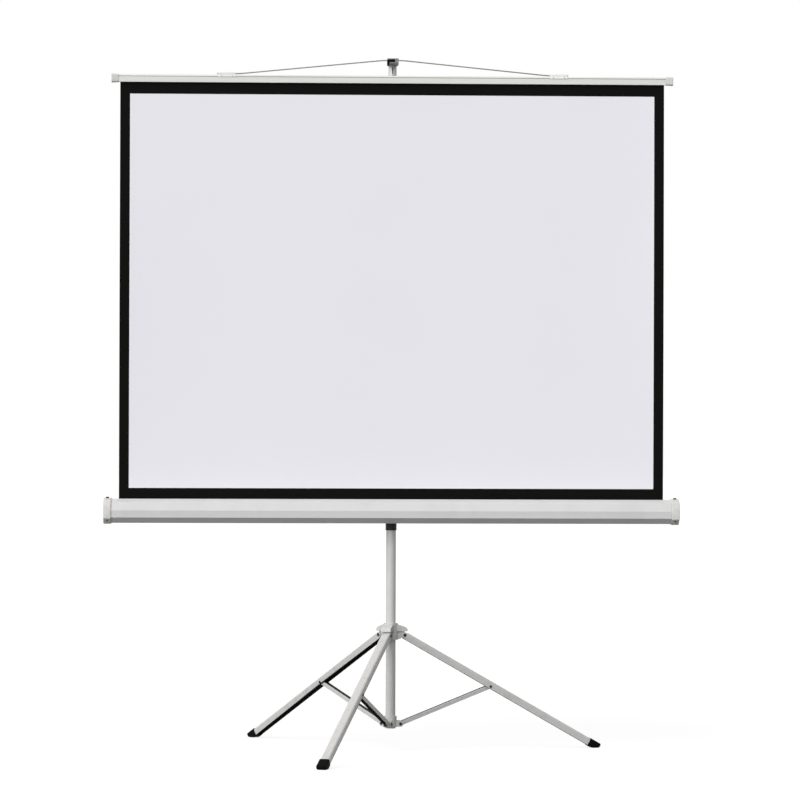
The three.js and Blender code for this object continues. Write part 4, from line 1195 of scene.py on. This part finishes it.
@dataclass
class Mast:
    """The telescoping mast with its lock, hook and knobs."""

    shop: Workshop
    sides: int = 72
    outer_wall: float = 1.5 * MM
    inner_wall: float = 1.2 * MM
    rim: float = 0.5 * MM
    slot_length: float = 23 * MM
    slot_width: float = 3 * MM
    slot_drop: float = 28 * MM
    button_drop: float = 46 * MM
    button_radius: float = 2.3 * MM
    button_height: float = 2.6 * MM
    button_proud: float = 0.15 * MM
    pad_right: float = 6.5 * MM
    pad_drop: float = 3.5 * MM
    pad_band: float = 9.0 * MM  # height of the pad's upper band
    pad_leg: float = 7.0 * MM  # width of the pad's left leg
    pad_depth: float = 30 * MM

    def build(self) -> None:
        """Makes the tubes and dresses what is on them."""
        outer = self._tube("mast_outer_tube", self.outer_wall)
        self.shop.dress(outer, "mast", MAST_PAINT, "silver_paint")
        inner = self._punched(self._tube("mast_inner_tube", self.inner_wall))
        self.shop.dress(inner, "inner_mast", DRAWN_ALUMINIUM_Z, "aluminium")
        plug = self.shop.formed("mast_foot_plug", Edge.FORMED)
        self.shop.dress(plug, "mast", GREY_ABS, "grey_plastic")
        for node, body, edge in (
            ("extension_lock_collar", "mast", Edge.FORMED),
            ("extension_lock_knob", "lock_knob", Edge.MOULDED),
            ("carrier_clamp_knob", "clamp_knob", Edge.MOULDED),
            ("inner_guide_bush", "inner_mast", Edge.CRISP),
        ):
            self.shop.dress(self.shop.formed(node, edge), body, BLACK_NYLON, "black_plastic")
        self._hook()
        self._button()

    def _hook(self) -> None:
        """Dresses the hook: grey nylon, with near-black faces over the top and the left of its nose."""
        hook = self.shop.formed("hook_head", Edge.FORMED)
        low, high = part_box("hook_head")
        top = high.z - self.pad_drop
        band, leg = top - self.pad_band, low.x + self.pad_leg
        for across in (leg, self.pad_right):
            self.shop.split(hook, (across, 0, 0), (1, 0, 0))
        for height in (band, top):
            self.shop.split(hook, (0, 0, height), (0, 0, 1))
        self.shop.dress(hook, "inner_mast", GREY_NYLON, "black_plastic")
        # The front faces in an L over the nose's top and left side take the near-black finish.
        self.shop.second_finish(
            hook,
            BLACK_RUBBER,
            lambda middle, normal: middle.y < low.y + self.pad_depth
            and middle.z < top
            and middle.x < (self.pad_right if middle.z > band else leg),
        )

    def _tube(self, node: str, wall: float) -> bpy.types.Object:
        """Draws a round tube in place of a faceted one.

        Args:
            node: The solid's node name.
            wall: The tube's wall.

        Returns:
            The tube.
        """
        low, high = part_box(node)
        centre = (low + high) / 2
        self.shop.clear()
        bpy.ops.mesh.primitive_cylinder_add(
            vertices=self.sides,
            radius=(high.x - low.x) / 2,
            depth=high.z - low.z,
            end_fill_type="NOTHING",
            location=centre,
        )
        tube = self.shop.settle(bpy.context.object, f"{node}_drawn")
        self.shop.modify(tube, "SOLIDIFY", thickness=wall, offset=-1)
        self.shop.modify(
            tube, "BEVEL", width=self.rim, segments=2, limit_method="ANGLE", angle_limit=math.radians(60)
        )
        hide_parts(node)
        return self.shop.smooth(tube)

    def _punched(self, tube: bpy.types.Object) -> bpy.types.Object:
        """Punches the inner tube's upright slot and its button hole through the front wall.

        Args:
            tube: The inner tube.

        Returns:
            The tube.
        """
        low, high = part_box("mast_inner_tube")
        front, axis = low.y, (low.y + high.y) / 2
        straight = (self.slot_length - self.slot_width) / 2
        depth = axis - front + 2 * MM
        for name, drop, radius, half in (
            ("slot_punch", self.slot_drop, self.slot_width / 2, straight),
            ("button_punch", self.button_drop, 2.5 * MM, 0.0),
        ):
            self.shop.clear()
            bpy.ops.mesh.primitive_cylinder_add(vertices=32, radius=radius, depth=depth)
            punch = bpy.context.object
            punch.rotation_euler.x = math.pi / 2
            punch.location = (0, front + depth / 2 - 2 * MM, high.z - drop)
            self.shop.settle(punch, name)
            for vertex in punch.data.vertices:
                vertex.co.z += math.copysign(half, vertex.co.z - (high.z - drop))
            self.shop.modify(tube, "BOOLEAN", operation="DIFFERENCE", object=punch, solver="EXACT")
            bpy.data.objects.remove(punch)
        return self.shop.smooth(tube)

    def _button(self) -> None:
        """Sets the domed spring button in its hole, under the hook."""
        low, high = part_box("mast_inner_tube")
        self.shop.clear()
        bpy.ops.mesh.primitive_cylinder_add(
            vertices=28, radius=self.button_radius, depth=self.button_height, rotation=(math.pi / 2, 0, 0)
        )
        button = bpy.context.object
        button.location = (0, low.y + self.button_height / 2 - self.button_proud, high.z - self.button_drop)
        self.shop.settle(button, "spring_button")
        self.shop.modify(
            button, "BEVEL", width=1.2 * MM, segments=4, limit_method="ANGLE", angle_limit=math.radians(50)
        )
        self.shop.smooth(button, 40)
        self.shop.dress(button, "inner_mast", ZINC_STEEL, "steel")


@dataclass
class Tripod:
    """The hub, the legs with their feet and braces, and the lower collar."""

    shop: Workshop
    bearings: Tuple[Tuple[str, float], ...] = (("front", -109.5), ("right", 10.5), ("left", 130.5))  # from +X
    leg_tilt: float = 60.2  # degrees from upright
    leg_inside: float = 13.6 * MM  # half the room between a leg's flanges
    brace_inside: float = 7.8 * MM
    brace_tilt: float = 68.7
    ear_outside: float = 12.4 * MM
    collar_pivot: Tuple[float, float] = (31 * MM, 89 * MM)  # radius and height
    rivet_radius: float = 5.0 * MM
    rivet_head: float = 2.7 * MM
    boot_wall: float = 1.8 * MM
    boot_sleeve: float = 7 * MM  # over the end of the channel
    boot_toe: float = 34 * MM  # past the end of the channel
    boot_round: float = 5.5 * MM
    boot_mouth: float = 0.6 * MM  # rounding of the rim round the leg

    def build(self) -> None:
        """Dresses the tripod's pieces and adds the collar's rivets."""
        self.shop.dress(self.shop.formed("tripod_hub", Edge.FORMED), "hub", CAST_PAINT, "casting")
        self.shop.dress(self.shop.formed("mast_lower_collar", Edge.FORMED), "mast", CAST_PAINT, "casting")
        for name, bearing in self.bearings:
            self._channels(name, math.radians(bearing))
            for node, body, finish, slot, edge in (
                (f"leg_pivot_pin_{name}", "hub", DARK_STEEL, "steel", Edge.CRISP),
                (f"brace_rivet_{name}", f"leg_{name}", DARK_STEEL, "steel", Edge.CRISP),
            ):
                self.shop.dress(self.shop.formed(node, edge), body, finish, slot)
            self._boot(name, math.radians(bearing))
        self._collar_rivets()

    @staticmethod
    def _mast() -> Vector:
        """Finds the mast's axis at floor level."""
        low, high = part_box("mast_outer_tube")
        return Vector(((low.x + high.x) / 2, (low.y + high.y) / 2, 0))

    def _channels(self, name: str, bearing: float) -> None:
        """Dresses a leg and its brace, painted outside, with painted shade on the faces inside their channels.

        Args:
            name: The leg's name.
            bearing: Its bearing from +X, in radians.
        """
        out = Vector((math.cos(bearing), math.sin(bearing), 0))
        across = Vector((-math.sin(bearing), math.cos(bearing), 0))
        mast = self._mast()
        leg, brace = math.radians(self.leg_tilt), math.radians(self.brace_tilt)
        openings = {
            "leg": (-out * math.cos(leg) - Vector((0, 0, math.sin(leg))), self.leg_inside),
            "brace": (-out * math.cos(brace) + Vector((0, 0, math.sin(brace))), self.brace_inside),
        }
        for kind, (open_side, inside) in openings.items():
            node = f"{kind}_{name}"
            piece = self.shop.dress(self.shop.formed(node, Edge.CRISP), node, LEG_PAINT, "silver_paint")
            # Painted shade: the faces inside the channel, turned to its open side, go near black.
            self.shop.second_finish(
                piece,
                CHANNEL_PAINTED_SHADE,
                lambda middle, normal, side=open_side, room=inside: abs((middle - mast).dot(across)) < room
                and normal.dot(side) > -0.3,
            )

    def _boot(self, name: str, bearing: float) -> None:
        """Moulds a short rounded boot over the end of a leg, flat where it meets the floor.

        Args:
            name: The leg's name.
            bearing: Its bearing from +X, in radians.
        """
        tilt = math.radians(self.leg_tilt)
        out = Vector((math.cos(bearing), math.sin(bearing), 0))
        across = Vector((-math.sin(bearing), math.cos(bearing), 0))
        along = out * math.sin(tilt) - Vector((0, 0, math.cos(tilt)))
        above = along.cross(across)
        mast = self._mast()
        channel = [vertex.co - mast for vertex in FRAME["nodes"][f"leg_{name}"].data.vertices]
        end = max(point.dot(along) for point in channel)
        back = max(point.dot(above) for point in channel)
        edges = min(point.dot(above) for point in channel)
        width = 2 * max(point.dot(across) for point in channel)
        mouth, toe = end - self.boot_sleeve, end + self.boot_toe
        middle = mast + along * (mouth + toe) / 2 + above * (back + edges) / 2
        size = (toe - mouth, width + 2 * self.boot_wall, back - edges + 2 * self.boot_wall, 1)
        self.shop.clear()
        bpy.ops.mesh.primitive_cube_add(size=1)
        boot = bpy.context.object
        turn = Matrix((along, across, above)).transposed().to_4x4()
        boot.matrix_world = Matrix.Translation(middle) @ turn @ Matrix.Diagonal(size)
        self.shop.settle(boot, f"foot_{name}_boot")
        self.shop.edit(
            boot,
            lambda: bpy.ops.mesh.bisect(plane_co=(0, 0, 0), plane_no=(0, 0, 1), clear_inner=True, use_fill=True),
        )
        weights = boot.data.attributes.new("bevel_weight_edge", "FLOAT", "EDGE")
        for edge in boot.data.edges:
            ends = [boot.data.vertices[i].co - mast for i in edge.vertices]
            at_mouth = all(point.dot(along) < end - self.boot_sleeve / 2 for point in ends)
            weights.data[edge.index].value = 0.0 if at_mouth else 1.0
        self.shop.modify(boot, "BEVEL", width=self.boot_round, segments=5, limit_method="WEIGHT")
        self.shop.modify(
            boot, "BEVEL", width=self.boot_mouth, segments=2, limit_method="ANGLE", angle_limit=math.radians(60)
        )
        self.shop.even_out(boot)
        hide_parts(f"foot_{name}")
        self.shop.dress(boot, f"leg_{name}", BLACK_RUBBER, "black_rubber")

    def _collar_rivets(self) -> None:
        """Sets a dark domed rivet head on the outer face of each ear of the collar."""
        model = self.shop.domed("collar_rivet", self.rivet_radius, self.rivet_head, 1.6 * MM)
        radius, height = self.collar_pivot
        for name, degrees in self.bearings:
            bearing = math.radians(degrees)
            out = Vector((math.cos(bearing), math.sin(bearing), 0))
            for side in Side:
                across = Vector((-math.sin(bearing), math.cos(bearing), 0)) * side.value
                spot = self._mast() + out * radius + across * self.ear_outside + Vector((0, 0, height))
                rivet = self.shop.copy_to(
                    model, f"collar_rivet_{name}_{side.name.lower()}", self.shop.facing(spot, across)
                )
                self.shop.dress(rivet, "mast", DARK_STEEL, "steel")
        bpy.data.objects.remove(model)


@dataclass
class TopBar:
    """The bar along the sheet's head, with its caps, clips and wire bail."""

    shop: Workshop
    wire: float = 2.0 * MM
    wire_sides: int = 6
    bend: float = 14 * MM
    bend_steps: int = 10
    hook_half: float = 18.5 * MM
    clip_inner: float = 511 * MM
    end: float = 572 * MM
    low_z: float = 2204.2 * MM
    high_z: float = 2249.9 * MM
    strip_height: float = 2.0 * MM
    strip_proud: float = 0.3 * MM
    strip_drop: float = 6.0 * MM
    rivet_radius: float = 2.3 * MM
    rivet_head: float = 1.3 * MM
    rivet_spread: float = 18 * MM

    def build(self) -> None:
        """Dresses the bar and makes its bail, the grey strip of painted shade along its edge, and its rivets."""
        self.shop.dress(self.shop.formed("top_bar", Edge.CRISP), "top_bar", DRAWN_ALUMINIUM_X, "aluminium")
        for side in Side:
            name = side.name.lower()
            cap = self.shop.formed(f"top_bar_cap_{name}", Edge.FORMED)
            self.shop.dress(cap, "top_bar", GREY_ABS, "grey_plastic")
            clip = self.shop.formed(f"bail_clip_{name}", Edge.CRISP)
            self.shop.dress(clip, "top_bar", DRAWN_ALUMINIUM_X, "steel")
        self._bail()
        self._edge_shade_strip()
        self._rivets()

    def _route(self) -> List[Vector]:
        """Lays out the bail's line from end to end.

        Returns:
            Points along the wire's middle.
        """
        low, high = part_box("bail_wire")
        y = (low.y + high.y) / 2
        inner, top = self.clip_inner - self.bend, self.hook_half + self.bend
        corners = [
            Vector((x, y, z))
            for x, z in (
                (-self.end, self.low_z),
                (-inner, self.low_z),
                (-top, self.high_z),
                (top, self.high_z),
                (inner, self.low_z),
                (self.end, self.low_z),
            )
        ]
        points = [corners[0]]
        for before, corner, after in zip(corners, corners[1:], corners[2:]):
            start = corner + (before - corner).normalized() * self.bend
            stop = corner + (after - corner).normalized() * self.bend
            for i in range(self.bend_steps + 1):
                t = i / self.bend_steps
                points.append(start * (1 - t) ** 2 + corner * 2 * t * (1 - t) + stop * t**2)
        return points + [corners[-1]]

    def _bail(self) -> None:
        """Bends the wire bail along its line, with closed ends."""
        points = self._route()
        self.shop.clear()
        bpy.ops.curve.primitive_nurbs_path_add()
        bail = bpy.context.object
        line = bail.data
        line.splines.clear()
        spline = line.splines.new("POLY")
        spline.points.add(len(points) - 1)
        for place, point in zip(spline.points, points):
            place.co = (*point, 1)
        line.bevel_depth = self.wire
        line.bevel_resolution = self.wire_sides
        line.use_fill_caps = True
        bail.location = (0, 0, 0)
        self.shop.take(bail)
        bpy.ops.object.convert(target="MESH")
        bail = self.shop.settle(bpy.context.object, "bail_bent")
        self.shop.edit(
            bail,
            lambda: bpy.ops.mesh.remove_doubles(threshold=0.01 * MM),
            lambda: bpy.ops.mesh.normals_make_consistent(inside=False),
        )
        self.shop.smooth(bail, 50)
        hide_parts("bail_wire")
        self.shop.dress(bail, "top_bar", WIRE_STEEL, "steel")

    def _edge_shade_strip(self) -> None:
        """Lays the thin grey strip of painted shade along the bar's upper front edge."""
        low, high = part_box("top_bar")
        self.shop.clear()
        bpy.ops.mesh.primitive_cube_add(size=1)
        shade_strip = bpy.context.object
        shade_strip.scale = (high.x - low.x, 2 * self.strip_proud, self.strip_height)
        shade_strip.location = (0, low.y, high.z - self.strip_drop)
        self.shop.settle(shade_strip, "bar_edge_shade_strip")
        self.shop.modify(
            shade_strip, "BEVEL", width=self.strip_proud * 0.8, segments=2, limit_method="ANGLE", angle_limit=0.5
        )
        self.shop.smooth(shade_strip)
        # Its grey is painted shade along the bar's edge.
        self.shop.dress(shade_strip, "top_bar", BAR_EDGE_PAINTED_SHADE, "black_plastic")

    def _rivets(self) -> None:
        """Sets two domed rivets through the front of each clip."""
        self.shop.clear()
        bpy.ops.mesh.primitive_cylinder_add(
            vertices=24, radius=self.rivet_radius, depth=2 * self.rivet_head, rotation=(math.pi / 2, 0, 0)
        )
        model = self.shop.settle(bpy.context.object, "clip_rivet")
        self.shop.modify(
            model, "BEVEL", width=1.0 * MM, segments=3, limit_method="ANGLE", angle_limit=math.radians(50)
        )
        self.shop.smooth(model, 40)
        for side in Side:
            name = side.name.lower()
            low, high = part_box(f"bail_clip_{name}")
            middle = (low.x + high.x) / 2
            for i, shift in enumerate((-self.rivet_spread, self.rivet_spread)):
                spot = Matrix.Translation((middle + shift, low.y, low.z + 3.4 * MM))
                rivet = self.shop.copy_to(model, f"clip_rivet_{name}_{i}", spot)
                self.shop.dress(rivet, "top_bar", ZINC_STEEL, "steel")
        bpy.data.objects.remove(model)


def main() -> None:
    """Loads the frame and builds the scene."""
    logging.basicConfig(level=logging.INFO, format="%(name)s %(message)s")
    FRAME.update(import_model())
    shop = Workshop(FinishBook())
    Studio().build()
    for assembly in (ScreenSheet(shop), SpringRoller(shop), Case(shop), Mast(shop), Tripod(shop), TopBar(shop)):
        assembly.build()
        LOG.info("%s built", type(assembly).__name__)
    shop.clear()


if __name__ == "__main__":
    main()
